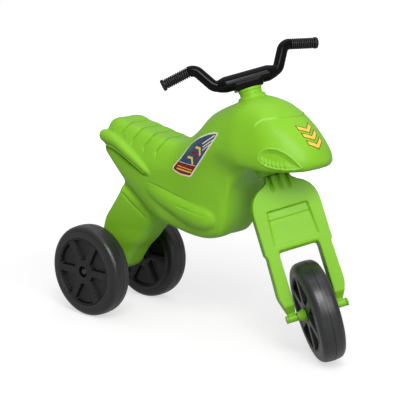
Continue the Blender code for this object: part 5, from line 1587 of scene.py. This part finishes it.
def make_collar():
    """The green collar under the handlebar: a waisted ring with a soft top and a fine step."""
    foot = HEAD_TOP + GAP
    top = foot + COLLAR_HEIGHT
    wide = COLLAR_RADIUS
    inner = STEM_RADIUS + FIT
    low = foot - BUSH_DEPTH
    outside = rounded([(inner, top), (wide, top), (wide, top - 0.0042), (wide - 0.0011, top - 0.0050),
                       (wide - 0.0012, foot + 0.0012), (wide, foot + 0.0006), (wide, foot),
                       (BUSH_RADIUS, foot)], 0.0012, 4)
    profile = outside + [(BUSH_RADIUS, low + 0.0008), (BUSH_RADIUS - 0.0008, low), (inner, low)]
    small_part("collar_skin", profile, "body", "upper_head_bush", "lime_green_plastic", HEAD, 96, True)


def make_axle_parts():
    face = WHEEL_WIDTH / 2 - RIM_INSET
    flange = REAR_TRACK / 2 + face - HUB_RECESS_DEPTH + GAP + HUB_FLANGE
    base = flange + GAP
    axle_end = base + CAP_HEIGHT * 0.6
    bore = AXLE_RADIUS + FIT
    dome = [(CAP_RADIUS * math.sin(a), base + 0.0012 + (CAP_HEIGHT - 0.0012) * math.cos(a))
            for a in np.linspace(0, math.pi / 2, 14)]
    cap = dome + [(CAP_RADIUS, base), (bore, base), (bore, axle_end + GAP), (0.0, axle_end + GAP)]
    for side, word in SIDES:
        name = f"rear_{word}_axle_cap"
        small_part(name + "_skin", cap, "body", name, "bright_cap", axle(BIKE, (0, 0, REAR_AXLE_Z), -side))
    wall = 0.0016
    base = FORK_BOSS_WIDTH / 2 + GAP
    end = base + 0.0015 + wall
    outer = FORK_BOSS_RADIUS + 0.0002
    cap = rounded([(0.0, end), (outer, end), (outer, base), (bore, base)], 0.0011, 5)
    cap += [(bore, end - wall), (0.0, end - wall)]
    leg = FORK_GAP / 2 - GAP
    foot = 0.0078
    head = HUB_RECESS_RADIUS - 0.0004
    nose = face - HUB_RECESS_DEPTH + 2 * GAP + HUB_FLANGE
    for side, word, low in ((1, "left", face + GAP), (-1, "right", nose)):
        lay = axle(STEER, (FORK_OFFSET, 0, 0), -side)
        name = f"front_{word}_axle_cap"
        small_part(name + "_skin", cap, "steering", name, "lime_green_plastic", lay)
        profile = rounded([(bore, leg), (foot, leg), (foot + 0.0002, leg - 0.0032), (head, face + 0.0046),
                           (head, low), (bore, low)], 0.0006, 4)
        name = f"front_{word}_spacer"
        small_part(name + "_skin", profile, "steering", name, "lime_green_plastic", lay, closed=True)


bpy.context.scene.view_settings.view_transform = "Standard"
make_camera()
dress_nodes()
body_skin = make_body()
piece(body_skin, "body_skin", "body", "body_shell", "lime_green_plastic")
make_stickers(body_skin)
piece(make_fork(), "fork_skin", "steering", "front_fork", "lime_green_plastic", 50, STEER)
make_wheel("front", FRONT_SPOKE)
make_wheel("rear_left", REAR_SPOKE)
make_wheel("rear_right", REAR_SPOKE)
make_bar()
make_collar()
make_axle_parts()
make_floor()
make_room()
make_lamps()

bpy.context.view_layer.update()
for left_over in list(SCRATCH.objects):
    bpy.data.objects.remove(left_over)
bpy.data.collections.remove(SCRATCH)
